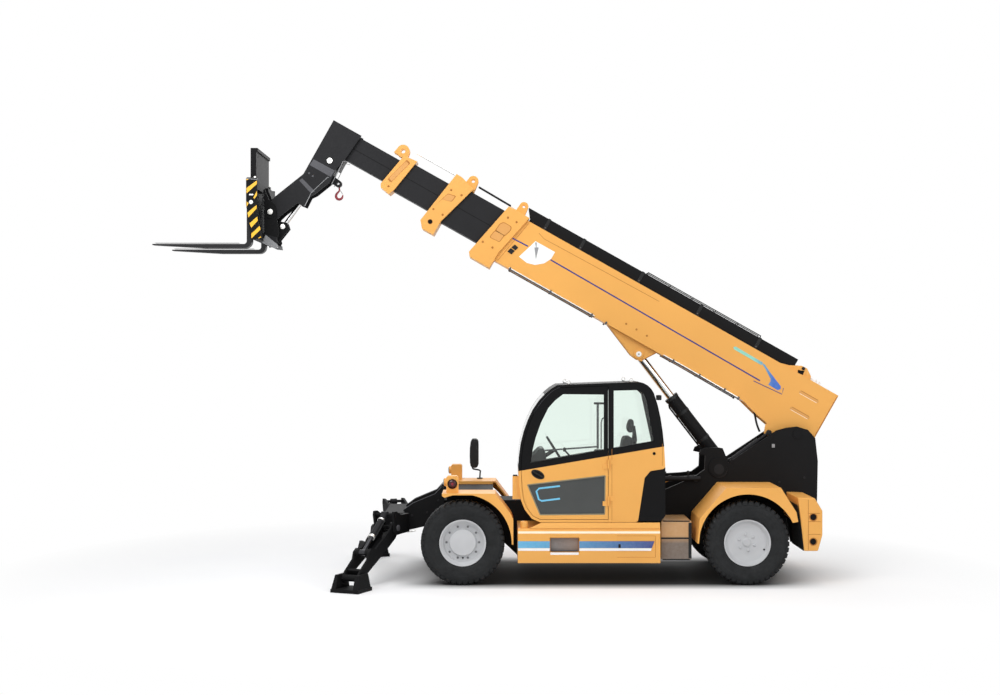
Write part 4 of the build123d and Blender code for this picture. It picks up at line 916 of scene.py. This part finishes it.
# carriage: hazard stripes on its side plates, pins, bottom brackets
films("carriage", 0.815, "carriage", "black_paint", flat, [
    ("stripe_0", [(6.437, 5.093), (6.304, 5.191), (6.304, 5.145), (6.437, 5.024)], "yellow"),
    ("stripe_1", [(6.350, 4.966), (6.302, 5.058), (6.302, 5.000), (6.333, 4.954)], "yellow"),
    ("stripe_2", [(6.437, 4.920), (6.408, 4.896), (6.437, 4.850)], "yellow"),
    ("stripe_3", [(6.425, 4.775), (6.307, 4.873), (6.307, 4.827), (6.414, 4.711)], "yellow"),
    ("stripe_4", [(6.397, 4.636), (6.299, 4.723), (6.292, 4.671), (6.376, 4.578)], "yellow"),
    ("stripe_5", [(6.374, 4.503), (6.268, 4.602), (6.256, 4.555), (6.374, 4.440)], "yellow"),
    ("stripe_6", [(6.287, 4.446), (6.250, 4.470), (6.247, 4.455), (6.275, 4.442)], "yellow"),
    ("stripe_7", [(6.440, 5.192), (6.391, 5.215), (6.416, 5.218), (6.440, 5.207)], "yellow"),
    ("slot_0", rounded([(6.349, 4.998), (6.403, 4.998), (6.403, 5.018), (6.349, 5.018)], 0.01), "white"),
    ("disc", ellipse(6.379, 4.912, 0.026, 0.026), "white"),
    ("edge", ribbon([(6.304, 5.203), (6.441, 5.216)], 0.008), "grey"),
])
both("carriage_foot", [(6.329, 4.425), (6.271, 4.526), (6.188, 4.455), (6.120, 4.402), (6.110, 4.350),
                       (6.188, 4.358)], 0.236, 0.262,
     "grey", "carriage", "black_paint", flat, 0.004)
both("carriage_shoe", [(6.313, 4.540), (6.206, 4.433), (6.140, 4.400), (6.118, 4.440), (6.130, 4.492),
                       (6.182, 4.510)], 0.216, 0.238,
     "black", "carriage", "black_paint", flat, 0.004)
dots("tilt_pin", 0.079, "carriage", "chrome_rod", flat, 0.034, "pin", [(6.071, 4.649)], 0.008)
for side_name, side in SIDES:
    for n, z in enumerate((4.62, 4.75, 4.88, 5.01)):
        bolt(f"rest_bolt_{n}_{side_name}", at(6.3625, side * 0.35, z), (1, 0, 0), 0.011, 0.009, "band", "carriage",
             "black_paint")
    for n, y in enumerate((0.50, 0.34, 0.24), 1):
        tube(f"rest_bar_{n}_{side_name}", [at(6.372, side * y, 5.20), at(6.372, side * y, 5.60)], 0.009, "black",
             "carriage",
             "black_paint")
    fork_y = 0.62 * side
    prism(f"fork_edge_{side_name}", [(6.56, 4.3915), (7.66, 4.3915), (7.66, 4.3925), (6.56, 4.3925)],
          fork_y - 0.055, fork_y + 0.055,
          "band", "carriage", "fork_steel")
    cap(f"fork_lock_{side_name}", at(6.360, fork_y, 5.245), (0, 0, 1), 0.016, 0.022, "pin", "carriage", "fork_steel")

# cab: roof lugs, a painted highlight along the front edge, handrails, dash, handle, seams
for n, (x, y, z) in enumerate(((2.304, 0.42, 2.590), (2.274, 0.98, 2.585), (1.527, 0.42, 2.616),
                               (1.468, 0.98, 2.612))):
    loop(f"roof_lug_{n}", at(x, y, z), (1, 0, 0), (0, 0, 1), 0.021, 0.0055, "pin", "root", "chrome_rod")
    turned(f"roof_lug_foot_{n}", [(0.0, 0.0), (0.0, 0.020), (0.010, 0.018), (0.014, 0.010), (0.014, 0.0)],
           at(x, y, z - 0.036),
           (0, 0, 1), *ROOT_BAND, 24)
brick("rear_lamp_top", (1.075, 0.86, 2.350), (1.140, 0.96, 2.415), *ROOT_TRIM, 0.010)
RAIL_Y = 1.078
tube("door_rail", [at(1.905, RAIL_Y, 1.735), at(1.905, RAIL_Y, 2.310)], 0.0145, *DOOR_BAND)
tube("door_rail_inner", [at(1.861, RAIL_Y, 1.735), at(1.861, RAIL_Y, 2.070), at(1.845, RAIL_Y, 2.120),
                         at(1.812, RAIL_Y, 2.136)], 0.008,
     *DOOR_BAND)
brick("rail_cap_top", (1.820, 1.060, 2.300), (1.956, 1.100, 2.328), *DOOR_TRIM, 0.010)
brick("rail_cap_low", (1.820, 1.060, 1.700), (1.950, 1.100, 1.728), *DOOR_TRIM, 0.010)
tube("door_bar", [at(2.587, 1.085, 1.712), at(1.902, 1.085, 1.762)], 0.011, *DOOR_BAND)
cap("bar_knob", at(2.329, 1.085, 1.703), (0, 0, 1), 0.020, 0.045, *DOOR_TRIM, 0.008)
tube("bar_lever", [at(2.329, 1.085, 1.715), at(2.255, 1.085, 1.637)], 0.012, *DOOR_TRIM)
PANE = [(2.803, 1.278), (1.815, 1.395), (1.822, 0.905), (2.642, 0.897)]
for n, pair in enumerate(zip(PANE, PANE[1:] + PANE[:1])):
    prism(f"pane_edge_{n}", ribbon(pair, 0.014), 1.128, 1.1515, "edge", "door", "orange_paint")
prism("rear_seam", ribbon([(1.728, 1.735), (1.728, 0.825)], 0.005), 1.148, 1.1508, *ROOT_LINE)
prism("rear_edge_seam", ribbon([(1.085, 1.800), (1.085, 1.520)], 0.005), 1.148, 1.1508, *ROOT_LINE)
prism("door_handle_cup", ellipse(2.672, 1.411, 0.092, 0.052, math.radians(28)), 1.148, 1.154, *DOOR_TRIM, None, 0.002)
prism("door_handle", ellipse(2.672, 1.411, 0.078, 0.036, math.radians(28)), 1.150, 1.162, "deep", "door",
      "black_paint", None, 0.004)
tube("door_grip", [at(2.738, 1.160, 1.452), at(2.700, 1.172, 1.430), at(2.644, 1.172, 1.398),
                   at(2.606, 1.160, 1.374)], 0.009, *DOOR_TRIM, smooth_path=True)
prism("rear_body_dot", ellipse(1.190, 1.677, 0.020, 0.020), 1.149, 1.154, *ROOT_DEEP, None, 0.001)
# follows the bracket round the picture's model code, see the open faults in report.md
C_MARK = [(2.389, 1.262), (2.656, 1.231), (2.690, 1.195), (2.660, 1.092), (2.623, 1.072), (2.389, 1.101)]
prism("door_mark", ribbon(C_MARK, 0.022), 1.1325, 1.1338, "mark", "door", "glass")
brick("box_cap", (2.931, 1.02, 1.384), (2.990, 1.09, 1.400), *ROOT_TRIM, 0.006)
turned("sill_post", [(0.0, 0.0), (0.0, 0.05), (0.085, 0.05), (0.095, 0.042), (0.10, 0.02), (0.10, 0.0)],
       at(2.846, 1.10, 0.715), (0, 0, 1),
       "orange", "root", "orange_paint", 32)
ROOF = [(2.905, 1.50), (2.898, 1.70), (2.872, 1.85), (2.838, 1.975), (2.785, 2.105), (2.712, 2.235), (2.625, 2.35),
        (2.540, 2.44),
        (2.440, 2.513), (2.330, 2.552)]
# charcoal line along the cab's front edge: painted highlight
tube("cab_edge_highlight", [at(x - 0.008, 1.143, z - 0.004) for x, z in ROOF], 0.0045, *ROOT_BAND, smooth_path=True)
prism("dash", rounded([(2.780, 1.50), (2.772, 1.60), (2.745, 1.640), (2.652, 1.730), (2.600, 1.732), (2.570, 1.690),
                       (2.545, 1.50)], 0.03),
      0.50, 1.02, *ROOT_TRIM, None, 0.02)
tube("wiper_arm", [at(2.790, 1.0, 1.52), at(2.81, 0.78, 1.86)], 0.007, *ROOT_TRIM)

# side boxes
BOX = 1.200
films("box", BOX, "root", "orange_paint", flat, [
    # pale strip along the box's top edge: painted highlight
    ("top_highlight_strip", [(1.120, 0.664), (2.924, 0.664), (2.924, 0.692), (1.120, 0.692)], "pale"),
    ("stripe_front", [(2.155 + 0.36, 0.479), (2.926, 0.479), (2.926, 0.567), (2.515, 0.567)], "stripe"),
    ("stripe_rear", [(1.225, 0.479), (2.153, 0.479), (2.153, 0.567), (1.191, 0.567)], "stripe"),
    ("line_front", [(2.515, 0.445), (2.926, 0.445), (2.926, 0.477), (2.515, 0.477)], "white"),
    ("line_rear", [(1.234, 0.445), (2.153, 0.445), (2.153, 0.477), (1.226, 0.477)], "white"),
    ("line_step", [(2.155, 0.394), (2.513, 0.394), (2.513, 0.424), (2.155, 0.424)], "white"),
])
# the step's floor carries the recess's painted shade
both("step_floor", rounded([(2.158, 0.435), (2.510, 0.435), (2.510, 0.605), (2.158, 0.605)], 0.012), 1.131, 1.142,
     "recess", "root",
     "orange_paint", flat)
both("step_tread", rounded([(2.165, 0.436), (2.503, 0.436), (2.503, 0.450), (2.165, 0.450)], 0.004), 1.135, 1.192,
     *ROOT_BAND, flat, 0.002)
for name, loop_points in (("step_frame", [(2.149, 0.425), (2.519, 0.425), (2.519, 0.611), (2.149, 0.611),
                                          (2.149, 0.425)]),
                          ("hatch_frame", [(1.177, 0.360), (1.669, 0.360), (1.669, 0.636), (1.177, 0.636),
                                           (1.177, 0.360)])):
    for n, pair in enumerate(zip(loop_points, loop_points[1:])):
        both(f"{name}_{n}", ribbon(pair, 0.006), 1.19, 1.2016 if name == "step_frame" else 1.1965, *ROOT_LINE, flat)
both("sill_seam", ribbon([(1.734, 0.800), (1.838, 0.724)], 0.006), 1.14, 1.153, *ROOT_LINE, flat)
both("hatch_latch", rounded([(1.620, 0.48), (1.650, 0.48), (1.650, 0.53), (1.620, 0.53)], 0.008), 1.19, 1.2045,
     *ROOT_TRIM,
     flat, 0.002)

# tank
films("tank", 1.050, "root", "black_paint", flat, [
    ("bar_top", [(0.725, 0.796), (1.070, 0.796), (1.070, 0.812), (0.725, 0.812)], "trim"),
    ("bar_middle", [(0.702, 0.575), (1.092, 0.575), (1.092, 0.597), (0.702, 0.597)], "trim"),
    ("bar_low", [(0.725, 0.306), (1.070, 0.306), (1.070, 0.322), (0.725, 0.322)], "trim"),
    ("post_rear", [(0.701, 0.330), (0.741, 0.330), (0.741, 0.785), (0.701, 0.785)], "trim"),
])

# rear flap and counterweight
both("rear_flap", [(-0.636, 1.02), (-0.629, 1.02), (-0.682, 0.70), (-0.712, 0.438), (-0.719, 0.438),
                   (-0.690, 0.70)], 0.345, 1.146, "liner",
     "root", "black_paint", flat)
films("weight", 1.150, "root", "orange_paint", flat, [
    # black discs standing for the counterweight's two holes: painted shade
    ("hole_top", ellipse(-0.839, 0.867, 0.041, 0.041), "deep"),
    ("hole_low", ellipse(-0.835, 0.555, 0.041, 0.041), "deep"),
    ("line_0", ribbon([(-0.774, 0.915), (-0.922, 0.915)], 0.006), "line"),
    ("line_1", ribbon([(-0.774, 0.810), (-0.930, 0.810)], 0.006), "line"),
    ("line_2", ribbon([(-0.774, 0.647), (-0.930, 0.647)], 0.006), "line"),
    ("line_3", ribbon([(-0.774, 1.090), (-0.774, 0.450)], 0.006), "line"),
])
for name, z in (("top", 0.867), ("low", 0.555)):
    for side_name, side in SIDES:
        rim = [(-0.002, 0.041), (0.004, 0.041), (0.006, 0.046), (0.004, 0.051), (-0.002, 0.051)]
        turned(f"weight_ring_{name}_{side_name}", rim + rim[:1], at(-0.837, side * 1.150, z), (0, side, 0),
               *ROOT_LINE, 40)

# tower
TOWER = 0.330
tube("tower_bar", [at(0.968, TOWER + 0.031, 1.293), at(0.503, TOWER + 0.031, 1.293)], 0.030, *ROOT_BLACK)
for n, x in enumerate((0.90, 0.56)):
    both(f"tower_clip_{n}", rounded([(x - 0.02, 1.255), (x + 0.02, 1.255), (x + 0.02, 1.331), (x - 0.02, 1.331)],
                                    0.01), 0.325, 0.366, *ROOT_TRIM, flat, 0.002)
turned("tower_ball", [(-0.023, 0.0)] + [(-0.023 * math.cos(math.radians(t)),
                                         0.023 * math.sin(math.radians(t))) for t in range(20, 180, 20)]
       + [(0.023, 0.0)], at(0.668, TOWER + 0.06, 1.377), (0, 0, 1), *ROOT_TRIM, 24)
tube("tower_stem", [at(0.668, TOWER + 0.06, 1.30), at(0.668, TOWER + 0.06, 1.36)], 0.007, *ROOT_TRIM)
both("tower_boss", ellipse(0.252, 1.413, 0.115, 0.115), 0.328, 0.340, *ROOT_BLACK, flat, 0.004)
both("tower_boss_cap", ellipse(0.252, 1.413, 0.070, 0.070), 0.338, 0.350, *ROOT_BLACK, flat, 0.006)
both("tower_plate", [(-0.490, 1.700), (-0.450, 1.700), (-0.450, 1.748), (-0.490, 1.748)], 0.328, 0.3345, "grey",
     "root", "black_paint", flat, 0.001)
both("tower_plate_edge", [(-0.449, 1.704), (-0.429, 1.712), (-0.429, 1.752), (-0.449, 1.748)], 0.328, 0.3335,
     *ROOT_DEEP, flat)
for side_name, side in SIDES:
    for n, (x, z) in enumerate(((-0.88, 1.30), (-0.55, 1.24))):
        bolt(f"tower_bolt_{n}_{side_name}", at(x, side * TOWER, z), (0, side, 0), 0.012, 0.010, *ROOT_BLACK)

# lift and tilt cylinders: port pipe, bands and glands
barrel_low, barrel_high = at(-0.128, 0, 1.087), on_boom(LIFT_EYE[0], 0, LIFT_EYE[1])
run = (barrel_high - barrel_low).normalized()
lean = Vector((run.z, 0, -run.x))
pipe = [barrel_low + run * a + lean * b for a, b in ((0.26, 0.080), (0.30, 0.104), (1.50, 0.104), (1.54, 0.085))]
tube("lift_pipe", pipe, 0.012, "black", "lift_barrel", "black_paint")
for n, d in enumerate((0.45, 0.90, 1.35)):
    middle = barrel_low + run * d
    turned(f"lift_band_{n}", [(-0.02, 0.0895), (-0.02, 0.0945), (0.02, 0.0945), (0.02, 0.0895), (-0.02, 0.0895)],
           middle, run, "trim",
           "lift_barrel", "black_paint", 48)
turned("lift_gland", [(0.0, 0.0585), (0.0, 0.093), (-0.004, 0.097), (-0.045, 0.097), (-0.045, 0.0895), (0.0, 0.0585)],
       barrel_low + run * 1.613, run, "trim", "lift_barrel", "black_paint", 56)
tilt_top, tilt_pin = at(5.433, 0, 5.523), at(6.071, 0, 4.649)
tilt_run = (tilt_pin - tilt_top).normalized()
turned("tilt_gland", [(0.0, 0.031), (0.0, 0.054), (-0.004, 0.057), (-0.036, 0.057), (-0.036, 0.0515), (0.0, 0.031)],
       tilt_top + tilt_run * 0.694, tilt_run, "trim", "tilt_barrel", "black_paint", 40)

# head lamps: a dark red round lamp outwards, a black lens forwards
for side_name, side in SIDES:
    bezel = [(-0.004, 0.062), (0.010, 0.062), (0.013, 0.059), (0.013, 0.053), (0.004, 0.051), (-0.004, 0.062)]
    turned(f"side_lamp_ring_{side_name}", bezel, at(LAMP[0], side * LAMP[1], LAMP[2]), (0, side, 0), *ROOT_DEEP, 48)
    dome = [(0.0, 0.0), (0.0, 0.052), (0.006, 0.050), (0.012, 0.040), (0.016, 0.022), (0.017, 0.0)]
    turned(f"side_lamp_{side_name}", dome, at(LAMP[0], side * LAMP[1], LAMP[2]), (0, side, 0), "lens", "root",
           "glass", 48)
    turned(f"side_lamp_core_{side_name}", [(0.012, 0.0), (0.012, 0.020), (0.0175, 0.016), (0.019, 0.0)],
           at(LAMP[0], side * LAMP[1], LAMP[2]),
           (0, side, 0), "red", "root", "glass", 32)
    glass_lens = [(0.0, 0.0), (0.0, 0.047), (0.005, 0.045), (0.010, 0.030), (0.012, 0.0)]
    turned(f"front_lens_{side_name}", glass_lens, at(3.871, side * 0.985, 1.300), (1, 0, 0), "clear", "root",
           "glass", 48)

# mirror: a grey rear rim and the mirror itself, looking back
OUTLINE = [(3.548, 1.732), (3.570, 1.690), (3.581, 1.600), (3.583, 1.500), (3.580, 1.400), (3.570, 1.350),
           (3.548, 1.322),
           (3.492, 1.322), (3.468, 1.340), (3.459, 1.372), (3.459, 1.690), (3.468, 1.718), (3.492, 1.732)]
brick("mirror_foot", (3.400, -1.100, 1.168), (3.480, -1.020, 1.184), *ROOT_TRIM, 0.004)
prism("mirror_head", OUTLINE, -1.230, -1.030, *ROOT_TRIM, None, 0.016)
STEM = [(3.440, -1.060, 1.180), (3.436, -1.085, 1.250), (3.429, -1.110, 1.285), (3.500, -1.125, 1.296),
        (3.550, -1.130, 1.304), (3.550, -1.130, 1.360)]
tube("mirror_stem", [at(*p) for p in STEM], 0.011, *ROOT_TRIM, smooth_path=True)
for name in ("mirror_foot", "mirror_head", "mirror_stem"):
    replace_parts(bpy.data.objects[name], "mirror")
for name, half, inset, x0, x1, material, slot in (
    ("mirror_rim", 0.082, 0.0, 3.4555, 3.4610, "grey", "black_paint"),
    ("mirror_face", 0.073, 0.009, 3.4545, 3.4580, "mirror_glass", "glass"),
):
    sides = (MIRROR_Y - half, MIRROR_Y + half)
    low, high = 1.376 + inset, 1.686 - inset
    outline = rounded([(sides[0], low), (sides[1], low), (sides[1], high), (sides[0], high)], 0.03)
    prism(name, outline, 0.0, 1.0, material, "root", slot, lambda p, y, x0=x0,
          x1=x1: at(x0 if y < 0.5 else x1, p[0], p[1]), 0.001)

# stabilisers
LEG = Vector((4.615, 0.790, 0.695))
for side_name, side in SIDES:
    turn = math.radians(66.0)
    out = Vector((math.cos(turn), side * math.sin(turn), 0))
    across = Vector((-side * math.sin(turn), math.cos(turn), 0)) * side
    leg_at = lambda r, h, w: at(LEG.x, side * LEG.y, LEG.z) + out * r + across * w + Vector((0, 0, h))
    tube(f"arm_pipe_{side_name}", [at(4.467, side * 0.355, 0.600), at(4.387, side * 0.36, 0.575),
                                   at(4.267, side * 0.355, 0.605)], 0.010,
         "pin", "root", "chrome_rod", smooth_path=True)
    for n, w in enumerate((-0.158, 0.158)):
        turned(f"leg_pin_{n}_{side_name}", [(-0.004, 0.0), (-0.004, 0.040), (0.008, 0.040), (0.012, 0.034),
                                            (0.012, 0.0)],
               leg_at(0, 0, w), across * (1 if w > 0 else -1), *ROOT_BAND, 36)
    top, eye = leg_at(0.070, 0.175, 0), leg_at(0.650, -0.250, 0)
    down = (eye - top).normalized()
    turned(f"leg_gland_{side_name}", [(0.0, 0.026), (0.0, 0.044), (-0.004, 0.047), (-0.034, 0.047),
                                      (-0.034, 0.0415), (0.0, 0.026)],
           top + down * 0.449, down, "pin", "leg_barrel_" + side_name, "black_paint", 36)
    turned(f"leg_ring_{side_name}", [(-0.012, 0.0415), (-0.012, 0.048), (0.012, 0.048), (0.012, 0.0415),
                                     (-0.012, 0.0415)],
           top + down * 0.12, down, "pin", "leg_barrel_" + side_name, "black_paint", 36)
    tube(f"leg_pipe_{side_name}", [top + down * d + across * 0.050 for d in (0.12, 0.42)], 0.008, "trim",
         "leg_barrel_" + side_name,
         "black_paint")
    # charcoal line along the arm's top edge, lighter than the black arm: painted highlight
    arm_edge_highlight = [(0.300, 1.186), (0.385, 1.090), (0.681, 0.966), (0.790, 0.885)]
    tube(f"arm_edge_{side_name}", [at(3.63 + x, side * 0.337, z - 0.002) for x, z in arm_edge_highlight], 0.005, *ROOT_BAND)
    for n, (x, z) in enumerate(((3.97, 1.00), (4.12, 0.84), (4.32, 0.80))):
        bolt(f"arm_bolt_{n}_{side_name}", at(x, side * 0.340, z), (0, side, 0), 0.012, 0.010, *ROOT_BLACK)

# engine hood: louvres and a grab handle on the right
for n in range(7):
    x = 1.45 + 0.15 * n
    prism(f"hood_louvre_{n}", rounded([(x, 1.02), (x + 0.10, 1.02), (x + 0.10, 1.30), (x, 1.30)], 0.02), -1.1535,
          -1.148, *ROOT_DEEP, None, 0.002)
    for k in range(4):
        z = 1.05 + 0.065 * k
        prism(f"hood_slat_{n}_{k}", [(x + 0.008, z), (x + 0.092, z), (x + 0.092, z + 0.022),
                                     (x + 0.008, z + 0.022)], -1.160, -1.150, *ROOT_TRIM, None, 0.003)
tube("hood_handle", [at(1.95, -1.150, 0.93), at(1.95, -1.185, 0.93), at(2.15, -1.185, 0.93),
                     at(2.15, -1.150, 0.93)], 0.009, *ROOT_TRIM)
for n, x in enumerate((1.30, 2.55)):
    brick(f"hood_hinge_{n}", (x, -1.165, 0.83), (x + 0.12, -1.148, 0.87), *ROOT_BLACK, 0.004)

# hook: an eye, a neck and a bow that tapers to its tip, with a latch; the bow hangs below the CAD hook's
HOOK_PATH = [
    (-0.004, -0.046, 0.011), (-0.0073, -0.061, 0.0105), (-0.0110, -0.085, 0.0105), (0.0073, -0.108, 0.013),
    (0.0307, -0.131, 0.0155),
    (0.0394, -0.160, 0.017), (0.0307, -0.187, 0.0175), (0.0102, -0.2035, 0.0175), (-0.0131, -0.2060, 0.017),
    (-0.0365, -0.1956, 0.016),
    (-0.0511, -0.1723, 0.013), (-0.0555, -0.1431, 0.0055),
]
pin = on_boom(HOOK_PIN[0], 0, HOOK_PIN[1])
hook_points = [(pin.x + u, 0, pin.z + w) for u, w, _ in HOOK_PATH]
bow = swept("hook_bow", hook_points, 1.0, 4, True, radii=[radius for _, _, radius in HOOK_PATH])
finish(bow, "red", "hook", "hook_paint", angle=60)
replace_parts(bow, "hook")
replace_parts(loop("hook_eye", pin, (1, 0, 0), (0, 0, 1), 0.0330, 0.0135, "hook_dark", "hook", "hook_paint"), "hook")
tube("hook_latch", [pin + Vector((-0.018, 0, -0.086)), pin + Vector((-0.034, 0, -0.098)),
                    pin + Vector((-0.048, 0, -0.135))], 0.0035,
     "trim", "hook", "black_paint", smooth_path=True)
tube("tail_hose", [at(-0.243, 0.13, 2.200), at(-0.262, 0.13, 2.100), at(-0.285, 0.13, 1.985),
                   at(-0.322, 0.13, 1.900)], 0.014, *BOOM_TRIM, smooth_path=True)
for side_name, side in SIDES:
    washer = [(0.0, 0.014), (0.0, 0.034), (0.005, 0.034), (0.008, 0.031), (0.008, 0.017), (0.005, 0.014),
              (0.0, 0.014)]
    turned(f"hook_washer_{side_name}", washer, on_boom(HOOK_PIN[0], side * 0.045, HOOK_PIN[1]), (0, side, 0),
           "trim", "head", "black_paint", 40)
    pin_end = [(-0.002, 0.0), (-0.002, 0.014), (0.007, 0.014), (0.010, 0.011), (0.010, 0.0)]
    turned(f"hook_pin_{side_name}", pin_end, on_boom(HOOK_PIN[0], side * 0.045, HOOK_PIN[1]), (0, side, 0),
           "rim_edge", "head", "black_paint", 32)


# --- floor, light and camera ------------------------------------------------------------------------------
def stage():
    mesh = bpy.data.meshes.new("floor")
    mesh.from_pydata([(-60, -60, 0), (60, -60, 0), (60, 60, 0), (-60, 60, 0)], [], [(0, 1, 2, 3)])
    floor = bpy.data.objects.new("floor", mesh)
    bpy.context.scene.collection.objects.link(floor)
    m = Nodes("studio_floor")
    tree = m.tree
    radius = m.add("ShaderNodeVectorMath", i0=m.coords.outputs["Object"])
    radius.operation = "LENGTH"
    tone = m.ramp(m.noise(0.8, 3.0), [(0.3, (0.95, 0.95, 0.96, 1)), (0.7, (0.97, 0.97, 0.97, 1))])
    # a near-black patch painted under the machine: not a cast shadow
    under = m.math("MULTIPLY", m.across(0, -4.2, -3.3), m.across(0, 1.4, 0.6))
    under = m.math("MULTIPLY", under, m.math("MULTIPLY", m.across(1, -1.6, -1.0), m.across(1, 1.5, 1.05)))
    tone = m.mix(under, tone, (0.012, 0.012, 0.012, 1))
    m.set(Base_Color=tone, Roughness=0.85)
    paths = tree.nodes.new("ShaderNodeLightPath")
    seen = m.math("MAXIMUM", paths.outputs["Is Camera Ray"], paths.outputs["Is Glossy Ray"])
    seen = m.math("MAXIMUM", seen, paths.outputs["Is Transmission Ray"])
    far = m.span(radius.outputs["Value"], 3.6, 7.0)
    glow = tree.nodes.new("ShaderNodeEmission")
    glow.inputs["Color"].default_value = (1, 1, 1, 1)
    mixed = tree.nodes.new("ShaderNodeMixShader")
    tree.links.new(m.math("MULTIPLY", seen, far), mixed.inputs[0])
    tree.links.new(m.shader.outputs[0], mixed.inputs[1])
    tree.links.new(glow.outputs[0], mixed.inputs[2])
    tree.links.new(mixed.outputs[0], tree.nodes["Material Output"].inputs[0])
    mesh.materials.append(m.material)


def world():
    scene_world = bpy.data.worlds.new("studio")
    bpy.context.scene.world = scene_world
    scene_world.use_nodes = True
    tree = scene_world.node_tree
    background = tree.nodes["Background"]
    background.inputs["Color"].default_value = (0.95, 0.97, 1.0, 1)
    background.inputs["Strength"].default_value = 0.33
    shown = tree.nodes.new("ShaderNodeBackground")
    shown.inputs["Color"].default_value = (1, 1, 1, 1)
    shown.inputs["Strength"].default_value = 1.0
    paths = tree.nodes.new("ShaderNodeLightPath")
    a = tree.nodes.new("ShaderNodeMath")
    a.operation = "MAXIMUM"
    b = tree.nodes.new("ShaderNodeMath")
    b.operation = "MAXIMUM"
    tree.links.new(paths.outputs["Is Camera Ray"], a.inputs[0])
    tree.links.new(paths.outputs["Is Glossy Ray"], a.inputs[1])
    tree.links.new(a.outputs[0], b.inputs[0])
    tree.links.new(paths.outputs["Is Transmission Ray"], b.inputs[1])
    mixed = tree.nodes.new("ShaderNodeMixShader")
    tree.links.new(b.outputs[0], mixed.inputs[0])
    tree.links.new(background.outputs[0], mixed.inputs[1])
    tree.links.new(shown.outputs[0], mixed.inputs[2])
    tree.links.new(mixed.outputs[0], tree.nodes["World Output"].inputs[0])


def lamp(name, place_m, target, size, power):
    data = bpy.data.lights.new(name, "AREA")
    data.size = size
    data.energy = power
    obj = bpy.data.objects.new(name, data)
    bpy.context.scene.collection.objects.link(obj)
    obj.location = place_m
    obj.rotation_euler = (Vector(target) - Vector(place_m)).to_track_quat("-Z", "Y").to_euler()


def camera():
    data = bpy.data.cameras.new("camera")
    data.sensor_width = 36.0
    data.lens = 56.66
    data.shift_y = -0.0025
    data.clip_end = 200.0
    obj = bpy.data.objects.new("camera", data)
    bpy.context.scene.collection.objects.link(obj)
    obj.location = at(3.154, 21.2, 3.06)
    obj.rotation_euler = (math.radians(90), 0, math.radians(180))
    bpy.context.scene.camera = obj


stage()
world()
lamp("key", (4.5, 9.0, 9.5), (0, 0, 1.5), 7.0, 760)
lamp("fill", (-7.0, 7.0, 6.0), (0, 0, 1.5), 6.0, 260)
lamp("back", (0.0, -9.0, 8.0), (0, 0, 2.0), 8.0, 380)
lamp("top", (0.0, 1.5, 11.0), (0, 0, 1.0), 8.0, 420)
camera()
bpy.context.scene.view_settings.view_transform = "Standard"
